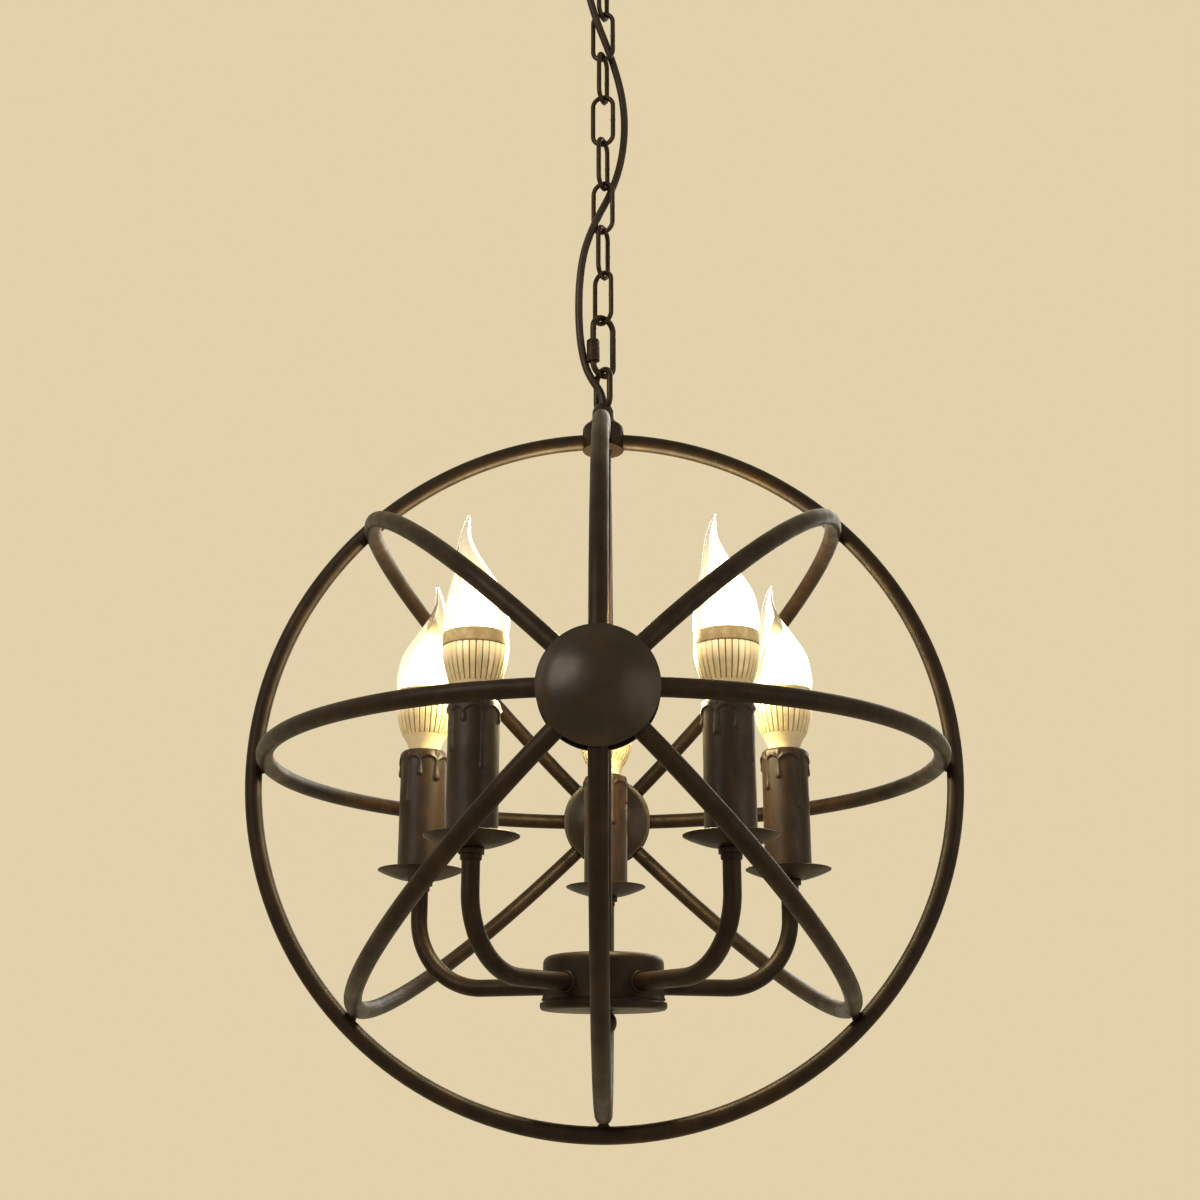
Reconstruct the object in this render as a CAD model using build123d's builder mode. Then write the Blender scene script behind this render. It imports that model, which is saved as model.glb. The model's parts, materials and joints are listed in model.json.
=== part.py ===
from build123d import *
import os
from math import cos, pi, radians, sin, tan

# Orb chandelier: five round-tube hoops round a five-lamp candle cluster, hung on a wire chain.
# Millimetres, +Z up. The origin is the centre of the crossbar's top face, where it meets the ceiling.
# The poles, where four of the hoops cross under domed caps, lie in front (-Y) and behind (+Y).
# Round bodies are cut in flats to keep the facets few, and their radii are measured to the flats.
# Heights of the orb and the lamps are measured from the orb's centre.

# ---- driving dimensions ----
OUTER_HOOP_R = 210.0          # centreline radius of the frontal hoop
INNER_HOOP_R = 199.4          # centreline radius of the four hoops that nest inside it
TUBE_R = 5.0                  # hoops, arms and stem are all 10 mm tube
HOOP_STEP = 11.25             # turn of a hoop from one of its straight runs to the next, degrees
POLE_PLATE_R = 30.6           # domed pole plates
LAMP_CIRCLE_R = 118.0         # sleeve axes, from the stem
LAMP_AZIMUTHS = (18, 90, 162, 234, 306)   # from +X, turning towards the back
FLAME_YAWS = (178, 182, 2, 183, 180)      # where each flame leans to

LINK_WIRE = 3.2
LINK_WIDTH = 17.0             # outside
LINK_INNER_HEIGHT = 33.35
LINK_YAWS = (0, 68, -12, 68, -12, 66, -24, 64, -40)   # every other link faces the front, more or less
PIVOT_GAP = 0.3               # between wires that roll on each other when the lamp swings
SEAT_GAP = 0.05               # between wires that only rest on each other
FIT_GAP = 0.05                # round a tube in its hole
CABLE_R = 2.5

# ---- heights that follow, from the ceiling down ----
EYE_WIRE = 4.0                # wire of both eyes and of the quick link
EYE_BEND_R = 8.0              # canopy eye, centreline
CANOPY_EYE_BAR_Z = -58.0      # centre of the bar that link 1 hangs on
LINK_LINE_HEIGHT = LINK_INNER_HEIGHT + LINK_WIRE
LINK_BEND_R = (LINK_WIDTH - LINK_WIRE) / 2
PITCH_PIVOT = LINK_LINE_HEIGHT - LINK_WIRE - PIVOT_GAP
PITCH_SEAT = LINK_LINE_HEIGHT - LINK_WIRE - SEAT_GAP
LINK_1_Z = CANOPY_EYE_BAR_Z + (EYE_WIRE + LINK_WIRE) / 2 + PIVOT_GAP - LINK_LINE_HEIGHT / 2
LINK_2_Z = LINK_1_Z - PITCH_PIVOT
QUICK_LINE_HEIGHT = 41.0
QUICK_BEND_R = 8.0
QUICK_YAW = 38.0
QUICK_Z = (LINK_2_Z - (len(LINK_YAWS) - 2) * PITCH_SEAT - LINK_LINE_HEIGHT / 2
           + (EYE_WIRE + LINK_WIRE) / 2 + SEAT_GAP - QUICK_LINE_HEIGHT / 2)
HUB_EYE_YAW = -52.0
HUB_EYE_BEND_R = 7.0
HUB_EYE_BAR_Z = QUICK_Z - QUICK_LINE_HEIGHT / 2 + EYE_WIRE + SEAT_GAP
HUB_EYE_ABOVE_ORB = 260.0     # the eye's top bar
ORB = Vector(0, 0, HUB_EYE_BAR_Z - HUB_EYE_ABOVE_ORB)
FRONT = Vector(0, -1, 0)
UP = Vector(0, 0, 1)
orb_frame = Plane(origin=ORB)
print("orb centre", round(ORB.Z, 2), "quick link centre", round(QUICK_Z - ORB.Z, 2), "above it")

os.makedirs("parts", exist_ok=True)


def save(piece, label):
    """Name a finished sub-part and write its STEP file."""
    piece.part.label = label
    export_step(piece.part, f"parts/{label}.step")


def flats(radius, sides, mode=Mode.ADD):
    """A regular polygon with a flat towards +X, inside a sketch."""
    return RegularPolygon(radius, sides, major_radius=False, rotation=180 / sides, mode=mode)


def corner_radius(radius, sides):
    """How far a regular polygon's corners reach when its flats lie at a radius."""
    return radius / cos(pi / sides)


def heading(yaw):
    """The level direction at an angle from +X."""
    return Vector(cos(radians(yaw)), sin(radians(yaw)), 0)


def upright(yaw, centre):
    """The vertical plane through centre whose X runs level at yaw and whose Y runs up."""
    return Plane(origin=centre, x_dir=heading(yaw), z_dir=heading(yaw).cross(UP))


def turned(frame, outline, sides):
    """A ring about the frame's axis: an outline of (radius, height) corners carried round a polygon."""
    corner_r = corner_radius(outline[0][0], sides)
    turns = [pi * (2 * i - 1) / sides for i in range(sides)]
    with BuildPart() as ring:
        with BuildLine():
            Polyline([frame.from_local_coords((corner_r * cos(t), corner_r * sin(t), 0)) for t in turns],
                     close=True)
        with BuildSketch(Plane(origin=frame.origin, x_dir=frame.x_dir, z_dir=-frame.y_dir)):
            with BuildLine():
                Polyline(outline, close=True)
            make_face()
        sweep(transition=Transition.RIGHT)
    return ring.part


def stacked(frame, stations, sides):
    """A solid up the frame's axis through (height, radius, shift along X) stations."""
    turns = [pi * (2 * i + 1) / sides for i in range(sides)]

    def corners(height, radius, shift=0.0):
        corner_r = corner_radius(radius, sides)
        ring = [(shift + corner_r * cos(t), corner_r * sin(t), height) for t in turns]
        return [frame.from_local_coords(point) for point in ring]

    with BuildPart() as body:
        for lower, upper in zip(stations, stations[1:]):
            if upper[0] > lower[0]:
                ConvexPolyhedron(corners(*lower) + corners(*upper))
    return body.part


def bent_bar(points, radius, plane_normal, sides=8):
    """Tube or wire along straight runs that are mitred where they meet."""
    with BuildPart() as bar:
        with BuildLine():
            Polyline(points)
        with BuildSketch(Plane(origin=points[0], x_dir=plane_normal, z_dir=points[1] - points[0])):
            flats(radius, sides)
        sweep(transition=Transition.RIGHT)
    return bar.part


def half_turn(bend_r, leg, runs=4):
    """Corners of a half-round bend above two upright legs, from +X over the top to -X."""
    corner_r = corner_radius(bend_r, 2 * runs)
    turns = [pi * (i + 0.5) / runs for i in range(runs)]
    return [(corner_r * cos(t), leg + corner_r * sin(t)) for t in turns]


def wire_oval(plane, line_height, bend_r, wire):
    """A closed oval of wire in an upright plane, made as its upper half and the mirror image."""
    over = [(bend_r, 0), *half_turn(bend_r, line_height / 2 - bend_r), (-bend_r, 0)]
    with BuildPart() as oval:
        add(bent_bar([plane.from_local_coords(p) for p in over], wire / 2, plane.z_dir))
        mirror(about=Plane(origin=plane.origin, z_dir=UP))
    return oval.part


# ==== ceiling: crossbar, nipple, canopy and its eye ====
BAR_LENGTH, BAR_WIDTH, BAR_THICKNESS, BAR_CORNER = 84.0, 20.0, 2.5, 4.0
SLOT_SPACING, SLOT_LENGTH, SLOT_WIDTH = 60.0, 14.0, 5.0
NIPPLE_R, NIPPLE_BORE_R, NIPPLE_SIDES = 5.0, 3.5, 12
NIPPLE_TOP, NIPPLE_BOTTOM = -0.5, -34.0
CROSSBAR_NUT_R, CROSSBAR_NUT_HEIGHT = 7.0, 4.0
CANOPY_R, CANOPY_DEPTH, CANOPY_WALL, CANOPY_SIDES = 50.0, 26.0, 1.2, 20
CANOPY_NUT_R, CANOPY_NUT_HEIGHT = 11.0, 5.0
EYE_COLLAR_R = 7.0
EYE_COLLAR_BOTTOM = -40.0

with BuildPart() as ceiling_crossbar:
    with BuildSketch(Plane.XY.offset(-BAR_THICKNESS)):
        Rectangle(BAR_LENGTH, BAR_WIDTH)
        chamfer(vertices(), BAR_CORNER)
        with GridLocations(SLOT_SPACING, 0, 2, 1):
            SlotOverall(SLOT_LENGTH, SLOT_WIDTH, mode=Mode.SUBTRACT)
        flats(NIPPLE_R + FIT_GAP, NIPPLE_SIDES, mode=Mode.SUBTRACT)
    extrude(amount=BAR_THICKNESS)
save(ceiling_crossbar, "ceiling_crossbar")

with BuildPart() as canopy_nipple:
    with BuildSketch(Plane.XY.offset(NIPPLE_BOTTOM)):
        flats(NIPPLE_R, NIPPLE_SIDES)
        flats(NIPPLE_BORE_R, NIPPLE_SIDES, mode=Mode.SUBTRACT)
    extrude(amount=NIPPLE_TOP - NIPPLE_BOTTOM)
save(canopy_nipple, "canopy_nipple")

with BuildPart() as crossbar_nut:
    with BuildSketch(Plane.XY.offset(-BAR_THICKNESS)):
        flats(CROSSBAR_NUT_R, 6)
        flats(NIPPLE_R + FIT_GAP, NIPPLE_SIDES, mode=Mode.SUBTRACT)
    extrude(amount=-CROSSBAR_NUT_HEIGHT)
save(crossbar_nut, "crossbar_nut")

canopy_hole_r = corner_radius(NIPPLE_R, NIPPLE_SIDES) + FIT_GAP
canopy_outline = [
    (CANOPY_R, 0), (CANOPY_R, -5), (44, -14.5), (30, -22.5), (14, -CANOPY_DEPTH),
    (canopy_hole_r, -CANOPY_DEPTH), (canopy_hole_r, CANOPY_WALL - CANOPY_DEPTH),
    (13.8, CANOPY_WALL - CANOPY_DEPTH), (29.4, -21.4), (43.1, -13.6), (CANOPY_R - CANOPY_WALL, -4.6),
    (CANOPY_R - CANOPY_WALL, 0),
]
with BuildPart() as canopy:
    add(turned(Plane.XY, canopy_outline, CANOPY_SIDES))
save(canopy, "canopy")

with BuildPart() as canopy_nut:
    with BuildSketch(Plane.XY.offset(-CANOPY_DEPTH)):
        flats(CANOPY_NUT_R, 20)
        flats(NIPPLE_R + FIT_GAP, NIPPLE_SIDES, mode=Mode.SUBTRACT)
    extrude(amount=-CANOPY_NUT_HEIGHT)
    chamfer(canopy_nut.faces().sort_by(Axis.Z)[0].outer_wire().edges(), 1.0)
save(canopy_nut, "canopy_nut")

canopy_eye_height = EYE_COLLAR_BOTTOM + EYE_WIRE / 2 - CANOPY_EYE_BAR_Z
canopy_eye_centre = Vector(0, 0, CANOPY_EYE_BAR_Z + canopy_eye_height / 2)
with BuildPart() as canopy_loop:
    with BuildSketch(Plane.XY.offset(EYE_COLLAR_BOTTOM)):
        flats(EYE_COLLAR_R, 16)
    extrude(amount=-CANOPY_DEPTH - CANOPY_NUT_HEIGHT - EYE_COLLAR_BOTTOM)
    with BuildSketch(Plane.XY.offset(NIPPLE_BOTTOM)):
        flats(NIPPLE_R + FIT_GAP, NIPPLE_SIDES)
    extrude(amount=-CANOPY_DEPTH - NIPPLE_BOTTOM, mode=Mode.SUBTRACT)
    add(wire_oval(upright(90, canopy_eye_centre), canopy_eye_height, EYE_BEND_R, EYE_WIRE))
save(canopy_loop, "canopy_loop")

# ==== chain, quick link and supply cable ====
with BuildPart() as chain_link_01:
    add(wire_oval(upright(LINK_YAWS[0], (0, 0, LINK_1_Z)), LINK_LINE_HEIGHT, LINK_BEND_R, LINK_WIRE))
save(chain_link_01, "chain_link_01")

with BuildPart() as chain_links:
    for number, link_yaw in enumerate(LINK_YAWS[1:]):
        link_centre = Vector(0, 0, LINK_2_Z - number * PITCH_SEAT)
        add(wire_oval(upright(link_yaw, link_centre), LINK_LINE_HEIGHT, LINK_BEND_R, LINK_WIRE))
save(chain_links, "chain_links")

# The quick link's left leg is cut, and its sleeve nut bridges the gap.
GAP_BOTTOM, GAP_TOP = -11.0, -4.0          # from the quick link's centre
NUT_R, NUT_LENGTH = 3.8, 15.0
quick_frame = upright(QUICK_YAW, (0, 0, QUICK_Z))
quick_over = half_turn(QUICK_BEND_R, QUICK_LINE_HEIGHT / 2 - QUICK_BEND_R)
quick_under = [(x, -y) for x, y in quick_over]
quick_route = [(-QUICK_BEND_R, GAP_TOP), *reversed(quick_over), *quick_under, (-QUICK_BEND_R, GAP_BOTTOM)]
with BuildPart() as quick_link:
    add(bent_bar([quick_frame.from_local_coords(p) for p in quick_route], EYE_WIRE / 2, quick_frame.z_dir))
save(quick_link, "quick_link")

nut_bottom = quick_frame.from_local_coords((-QUICK_BEND_R, (GAP_BOTTOM + GAP_TOP - NUT_LENGTH) / 2 + 2.5))
with BuildPart() as quick_link_nut:
    with BuildSketch(Plane(origin=nut_bottom, x_dir=heading(QUICK_YAW), z_dir=UP)):
        flats(NUT_R, 6)
        flats(EYE_WIRE / 2 + FIT_GAP, 8, mode=Mode.SUBTRACT)
    extrude(amount=NUT_LENGTH)
save(quick_link_nut, "quick_link_nut")

# The cable leaves the canopy eye's collar, weaves through links 3 and 7, and enters the hub eye's collar.
cable_top_points = [(0, 0, 610.1), (0, 0, 604.5), (-9.5, -5, 595.5), (-13, -9, 572)]
cable_main_points = [
    (-10, -8.5, 534.4), (10, 8.5, 488.4), (16, 7.5, 446), (10, 8, 403), (-10, -8, 353.4),
    (-15.5, -9, 322), (-15.8, -5, 288), (-12.5, -1.5, 265), (-7.5, -0.7, 253), (0, 0, 242.5), (0, 0, 235),
]
cable_route = [ORB + Vector(*p) for p in cable_top_points + cable_main_points]
cable_radii = []
for before, corner, after in zip(cable_route, cable_route[1:], cable_route[2:]):
    turn = radians((corner - before).get_angle(after - corner))
    shorter_run = min((corner - before).length, (after - corner).length)
    cable_radii.append(0.45 * shorter_run / tan(turn / 2))
print("cable radii", [round(r, 1) for r in cable_radii])
cable_split = (cable_route[len(cable_top_points) - 1] + cable_route[len(cable_top_points)]) / 2


def cable_tube(points, radii):
    """The cable as a tube of straight runs and tangent arcs."""
    with BuildPart() as tube:
        with BuildLine() as centreline:
            FilletPolyline(points, radius=radii)
        with BuildSketch(Plane(origin=points[0], z_dir=points[1] - points[0])) as section:
            RegularPolygon(CABLE_R, 6)
        sweep()
    length = sum(edge.length for edge in centreline.line.edges())
    volume_ratio = tube.part.volume / (section.sketch.area * length)
    print("cable length", round(length, 1), "volume ratio", round(volume_ratio, 4))
    return tube.part


top_corners = len(cable_top_points) - 1
with BuildPart() as supply_cable_top:
    add(cable_tube([*cable_route[:top_corners + 1], cable_split], cable_radii[:top_corners]))
save(supply_cable_top, "supply_cable_top")

with BuildPart() as supply_cable:
    add(cable_tube([cable_split, *cable_route[top_corners + 1:]], cable_radii[top_corners:]))
save(supply_cable, "supply_cable")

# ==== hub on top of the orb: eye, bell cup, core and disc ====
HUB_COLLAR_BOTTOM, HUB_COLLAR_TOP = 224.0, 235.0
CUP_R, CUP_WALL, CUP_BOTTOM, CUP_SHOULDER, CUP_TOP = 13.0, 1.5, 204.9, 218.0, HUB_COLLAR_BOTTOM
CORE_R = 7.9
WASHER_HEIGHT = 1.2
ROUND_SIDES = 20
HOOP_SLOT = 2 * TUBE_R + 0.3

HUB_EYE_FOOT = 232.0           # centre of the eye's lower bend, sunk in its collar
hub_eye_height = HUB_EYE_ABOVE_ORB - HUB_EYE_FOOT
hub_eye_centre = ORB + UP * (HUB_EYE_ABOVE_ORB - hub_eye_height / 2)
with BuildPart() as hub_loop:
    with BuildSketch(orb_frame.offset(HUB_COLLAR_BOTTOM)):
        flats(EYE_COLLAR_R, 16)
    extrude(amount=HUB_COLLAR_TOP - HUB_COLLAR_BOTTOM)
    add(wire_oval(upright(HUB_EYE_YAW, hub_eye_centre), hub_eye_height, HUB_EYE_BEND_R, EYE_WIRE))
save(hub_loop, "hub_loop")

cup_hole_r = CORE_R + FIT_GAP
cup_outline = [
    (CUP_R, CUP_BOTTOM), (CUP_R, CUP_SHOULDER), (CUP_R - 1.6, CUP_TOP - 2.9), (cup_hole_r + 0.5, CUP_TOP),
    (cup_hole_r, CUP_TOP), (cup_hole_r, CUP_TOP - 1.8), (CUP_R - 2.8, CUP_TOP - 4.0),
    (CUP_R - CUP_WALL, CUP_SHOULDER - 0.5), (CUP_R - CUP_WALL, CUP_BOTTOM),
]
slot_height = OUTER_HOOP_R + TUBE_R + 0.15 - CUP_BOTTOM
with BuildPart() as hub_cup:
    add(turned(orb_frame, cup_outline, ROUND_SIDES))
    with Locations(ORB + UP * (CUP_BOTTOM + slot_height / 2)):
        Box(3 * CUP_R, HOOP_SLOT, slot_height, mode=Mode.SUBTRACT)
        Box(HOOP_SLOT, 3 * CUP_R, slot_height, mode=Mode.SUBTRACT)
save(hub_cup, "hub_cup")

with BuildPart() as hub_core:
    with BuildSketch(orb_frame.offset(CUP_BOTTOM)):
        flats(CORE_R, ROUND_SIDES)
    extrude(amount=HUB_COLLAR_BOTTOM - CUP_BOTTOM)
save(hub_core, "hub_core")

with BuildPart() as hub_washer:
    with BuildSketch(orb_frame.offset(CUP_BOTTOM)):
        flats(CUP_R, ROUND_SIDES)
    extrude(amount=-WASHER_HEIGHT)
save(hub_washer, "hub_washer")

# ==== hoops ====
POLE_GAP_R = 13.6             # where the half-hoops end, from the pole axis
HUB_GAP_R = 8.0               # where the hoops end beside the hub core
LEANS = {"hoop_level": (90, 270), "hoop_slant_right": (45, 225), "hoop_slant_left": (135, 315)}


def lean_direction(lean):
    """The direction square to the poles in which a half-hoop bulges, leaning right from upright."""
    return Vector(sin(radians(lean)), 0, cos(radians(lean)))


def hoop_corners(start_reach, side_reach, runs):
    """Corners between a hoop's straight runs, counted from one reach towards the other."""
    spread = 1 / cos(radians(HOOP_STEP / 2))
    turns = [radians(HOOP_STEP * (i + 0.5)) for i in range(runs)]
    return [ORB + start_reach * (spread * cos(t)) + side_reach * (spread * sin(t)) for t in turns]


def half_hoop(lean):
    """One of the bars that run from the front pole to the back pole."""
    bulge = lean_direction(lean)
    half_runs = round(180 / HOOP_STEP)
    route = [ORB + FRONT * INNER_HOOP_R + bulge * POLE_GAP_R,
             *hoop_corners(FRONT * INNER_HOOP_R, bulge * INNER_HOOP_R, half_runs),
             ORB - FRONT * INNER_HOOP_R + bulge * POLE_GAP_R]
    return bent_bar(route, TUBE_R, FRONT.cross(bulge))


for hoop_name, leans in LEANS.items():
    with BuildPart() as hoop:
        for lean in leans:
            add(half_hoop(lean))
    save(hoop, hoop_name)

# The upper quarters of the upright hoop rise a little, to meet the frontal hoop's ends at its own height.
with BuildPart() as hoop_upright:
    add(half_hoop(180))
    for pole in (FRONT, -FRONT):
        quarter = [ORB + pole * INNER_HOOP_R + UP * POLE_GAP_R,
                   *hoop_corners(pole * INNER_HOOP_R, UP * OUTER_HOOP_R, round(90 / HOOP_STEP)),
                   ORB + UP * OUTER_HOOP_R + pole * HUB_GAP_R]
        add(bent_bar(quarter, TUBE_R, pole.cross(UP)))
save(hoop_upright, "hoop_upright")

with BuildPart() as outer_hoop:
    right = Vector(1, 0, 0)
    around = [ORB + UP * OUTER_HOOP_R + right * HUB_GAP_R,
              *hoop_corners(UP * OUTER_HOOP_R, right * OUTER_HOOP_R, round(360 / HOOP_STEP)),
              ORB + UP * OUTER_HOOP_R - right * HUB_GAP_R]
    add(bent_bar(around, TUBE_R, FRONT))
save(outer_hoop, "outer_hoop")

WELD_R = 3.0
with BuildPart() as hoop_welds:
    for lean in range(45, 360, 45):
        bulge = lean_direction(lean)
        with BuildSketch(Plane(origin=ORB + bulge * (INNER_HOOP_R + TUBE_R), x_dir=FRONT, z_dir=bulge)):
            flats(WELD_R, 6)
        extrude(amount=OUTER_HOOP_R - INNER_HOOP_R - 2 * TUBE_R)
save(hoop_welds, "hoop_welds")

# ==== poles: dome outside, cap inside, core between ====
DOME_SIDES = 16
DOME_RIM, DOME_WALL = 202.7, 1.7
dome_outside = [(DOME_RIM, POLE_PLATE_R), (208.5, 22.0), (212.4, 12.8), (214.2, 4.0)]
dome_inside = [(DOME_RIM, POLE_PLATE_R - DOME_WALL), (207.3, 20.6), (210.9, 12.0), (212.7, 4.0)]
CAP_SEAT = 191.9
cap_stations = [
    (-CAP_SEAT, POLE_PLATE_R), (-190.4, POLE_PLATE_R), (-190.4, 27.0), (-185.6, 18.5), (-183.0, 8.0),
]
core_stations = [(CAP_SEAT, 13.5), (208.0, 13.5)]
core_stud = [(208.0, 3.6), (212.7, 3.6)]
nut_stations = [(-183.0, 4.5), (-179.6, 4.5), (-179.6, 3.8), (-177.2, 1.8)]
out_frames = [Plane(origin=ORB, x_dir=(1, 0, 0), z_dir=pole) for pole in (FRONT, -FRONT)]
in_frames = [Plane(origin=ORB, x_dir=(1, 0, 0), z_dir=-pole) for pole in (FRONT, -FRONT)]

with BuildPart() as pole_domes:
    for frame in out_frames:
        add(stacked(frame, dome_outside, DOME_SIDES))
    for frame in out_frames:
        add(stacked(frame, dome_inside, DOME_SIDES), mode=Mode.SUBTRACT)
save(pole_domes, "pole_domes")

with BuildPart() as pole_caps:
    for frame in in_frames:
        add(stacked(frame, cap_stations, DOME_SIDES))
save(pole_caps, "pole_caps")

with BuildPart() as pole_cores:
    for frame in out_frames:
        add(stacked(frame, core_stations, 8))
        add(stacked(frame, core_stud, 8))
save(pole_cores, "pole_cores")

with BuildPart() as pole_fasteners:
    for frame in in_frames:
        add(stacked(frame, nut_stations, 6))
save(pole_fasteners, "pole_fasteners")

# ==== stem and cluster body ====
STEM_BORE_R, STEM_SIDES = 4.2, 12
BODY_TOP = -109.5
ARM_Z = -127.5                # where the arms leave the body, and the block's sockets
ARM_INNER_R = 11.5
BODY_R, BODY_WALL, LIP_Z = 35.0, 1.5, -136.0
COVER_R, COVER_BOTTOM = 36.7, -142.0
BLOCK_R, BLOCK_TOP, BLOCK_BOTTOM = 16.0, -121.0, -134.0
STEM_NIPPLE_R, STEM_NIPPLE_TOP = 4.1, -88.0
STUD_R = 3.0
BALL_R, BALL_Z = 7.6, -148.5

with BuildPart() as stem_tube:
    with BuildSketch(orb_frame.offset(BODY_TOP)):
        flats(TUBE_R, STEM_SIDES)
        flats(STEM_BORE_R, STEM_SIDES, mode=Mode.SUBTRACT)
    extrude(amount=CUP_BOTTOM - WASHER_HEIGHT - BODY_TOP)
save(stem_tube, "stem_tube")

body_outline = [
    (STEM_BORE_R, BODY_TOP), (29.0, -110.6), (BODY_R, -116.6), (BODY_R, -133.0), (BODY_R + 0.8, LIP_Z),
    (BODY_R - 0.7, LIP_Z), (BODY_R - BODY_WALL, -133.0), (BODY_R - BODY_WALL, -117.2), (28.3, -112.1),
    (STEM_BORE_R, BODY_TOP - BODY_WALL),
]


def arm_socket_frame(azimuth, distance):
    """The plane square to an arm's level run, at a distance from the stem."""
    return Plane(origin=ORB + UP * ARM_Z + heading(azimuth) * distance, x_dir=UP, z_dir=heading(azimuth))


with BuildPart() as body_cup:
    add(turned(orb_frame, body_outline, ROUND_SIDES))
    for azimuth in LAMP_AZIMUTHS:
        with BuildSketch(arm_socket_frame(azimuth, BODY_R - 5)):
            flats(TUBE_R + 2 * FIT_GAP, 8)
    extrude(amount=10, mode=Mode.SUBTRACT)
save(body_cup, "body_cup")

cover_hole_r = corner_radius(STUD_R, 10) + FIT_GAP
cover_outline = [
    (cover_hole_r, COVER_BOTTOM), (33.5, COVER_BOTTOM), (COVER_R, -140.4), (COVER_R, -137.5), (34.9, -137.5),
    (34.9, LIP_Z), (33.2, LIP_Z), (33.2, BLOCK_BOTTOM), (cover_hole_r, BLOCK_BOTTOM),
]
with BuildPart() as body_cover:
    add(turned(orb_frame, cover_outline, ROUND_SIDES))
save(body_cover, "body_cover")

with BuildPart() as arm_block:
    with BuildSketch(orb_frame.offset(BLOCK_BOTTOM)):
        flats(BLOCK_R, ROUND_SIDES)
    extrude(amount=BLOCK_TOP - BLOCK_BOTTOM)
    with BuildSketch(orb_frame.offset(BLOCK_TOP)):
        RegularPolygon(STEM_NIPPLE_R, 10)
    extrude(amount=STEM_NIPPLE_TOP - BLOCK_TOP)
    with BuildSketch(orb_frame.offset(BLOCK_BOTTOM)):
        flats(STUD_R + 2 * FIT_GAP, 10)
    extrude(amount=STEM_NIPPLE_TOP - BLOCK_BOTTOM, mode=Mode.SUBTRACT)
    for azimuth in LAMP_AZIMUTHS:
        with BuildSketch(arm_socket_frame(azimuth, ARM_INNER_R)):
            flats(TUBE_R + FIT_GAP, 8)
    extrude(amount=BLOCK_R, mode=Mode.SUBTRACT)
save(arm_block, "arm_block")

ball_stations = [(BALL_Z + BALL_R * sin(radians(a)), BALL_R * cos(radians(a))) for a in range(-75, 51, 25)]
with BuildPart() as finial:
    add(stacked(orb_frame, [*ball_stations, (COVER_BOTTOM, 4.9)], 16))
    add(stacked(orb_frame, [(COVER_BOTTOM, STUD_R), (-130.0, STUD_R)], 10))
save(finial, "finial")

# ==== lamps: each piece is made once on the lamp's own axis, X pointing away from the stem ====
ARM_BEND_R, ARM_TOP = 42.0, -54.0
ARM_NUT_R, ARM_NUT_HEIGHT = 6.6, 3.5
PAN_R, PAN_SEAT, PAN_WALL, PAN_SIDES = 26.0, -62.5, 1.0, 16
HOLDER_R, HOLDER_TOP, HOLDER_BOTTOM = 10.6, 13.0, -60.4
SOCKET_R, SOCKET_BOTTOM = 7.0, -12.0
SLEEVE_R, SLEEVE_TOP, SLEEVE_BOTTOM = 14.25, 17.6, -59.55
SLEEVE_BORE_R, SLEEVE_BORE_TOP, SLEEVE_MOUTH_R, SLEEVE_SIDES = 11.6, 14.0, 10.2, 12
BULB_CAP_R, BULB_CAP_BOTTOM, BULB_SEAT, BULB_SIDES = 6.85, -10.0, 13.1, 12
SINK_BOTTOM, SINK_TOP, BAND_TOP = 26.6, 50.6, 55.6
SINK_R_LOW, SINK_R_HIGH, FIN_DEPTH, FIN_GAP = 14.0, 18.4, 1.3, 1.6
hole_r = TUBE_R + FIT_GAP
lamp_axis = Plane.XY

bend_centre = Vector(-ARM_BEND_R, 0, ARM_Z + ARM_BEND_R)
bend_corner_r = ARM_BEND_R / cos(radians(9))
bend_turns = [radians(18 * i - 81) for i in range(5)]
arm_route = [
    Vector(ARM_INNER_R - LAMP_CIRCLE_R, 0, ARM_Z),
    *[bend_centre + Vector(bend_corner_r * cos(t), 0, bend_corner_r * sin(t)) for t in bend_turns],
    Vector(0, 0, ARM_TOP),
]
arm = bent_bar(arm_route, TUBE_R, FRONT)

with BuildPart() as arm_nut:
    with BuildSketch(Plane.XY.offset(PAN_SEAT)):
        flats(ARM_NUT_R, 6)
        flats(hole_r, 8, mode=Mode.SUBTRACT)
    extrude(amount=-ARM_NUT_HEIGHT)

pan_hole_r = corner_radius(TUBE_R, 8) + FIT_GAP
pan_outline = [
    (pan_hole_r, PAN_SEAT), (7.5, PAN_SEAT), (17.0, -60.2), (PAN_R, -56.6), (PAN_R - 0.5, -55.7),
    (16.6, -59.2), (7.5, PAN_SEAT + PAN_WALL), (pan_hole_r, PAN_SEAT + PAN_WALL),
]
with BuildPart() as pan:
    add(turned(lamp_axis, pan_outline, PAN_SIDES))

with BuildPart() as holder:
    with BuildSketch(Plane.XY.offset(HOLDER_BOTTOM)):
        flats(HOLDER_R, 8)
    extrude(amount=HOLDER_TOP - HOLDER_BOTTOM)
    with BuildSketch(Plane.XY.offset(PAN_SEAT)):
        flats(hole_r, 8)
    extrude(amount=ARM_TOP - PAN_SEAT + 0.5, mode=Mode.SUBTRACT)
    with BuildSketch(Plane.XY.offset(SOCKET_BOTTOM)):
        flats(SOCKET_R, 12)
    extrude(amount=HOLDER_TOP - SOCKET_BOTTOM, mode=Mode.SUBTRACT)

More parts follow.
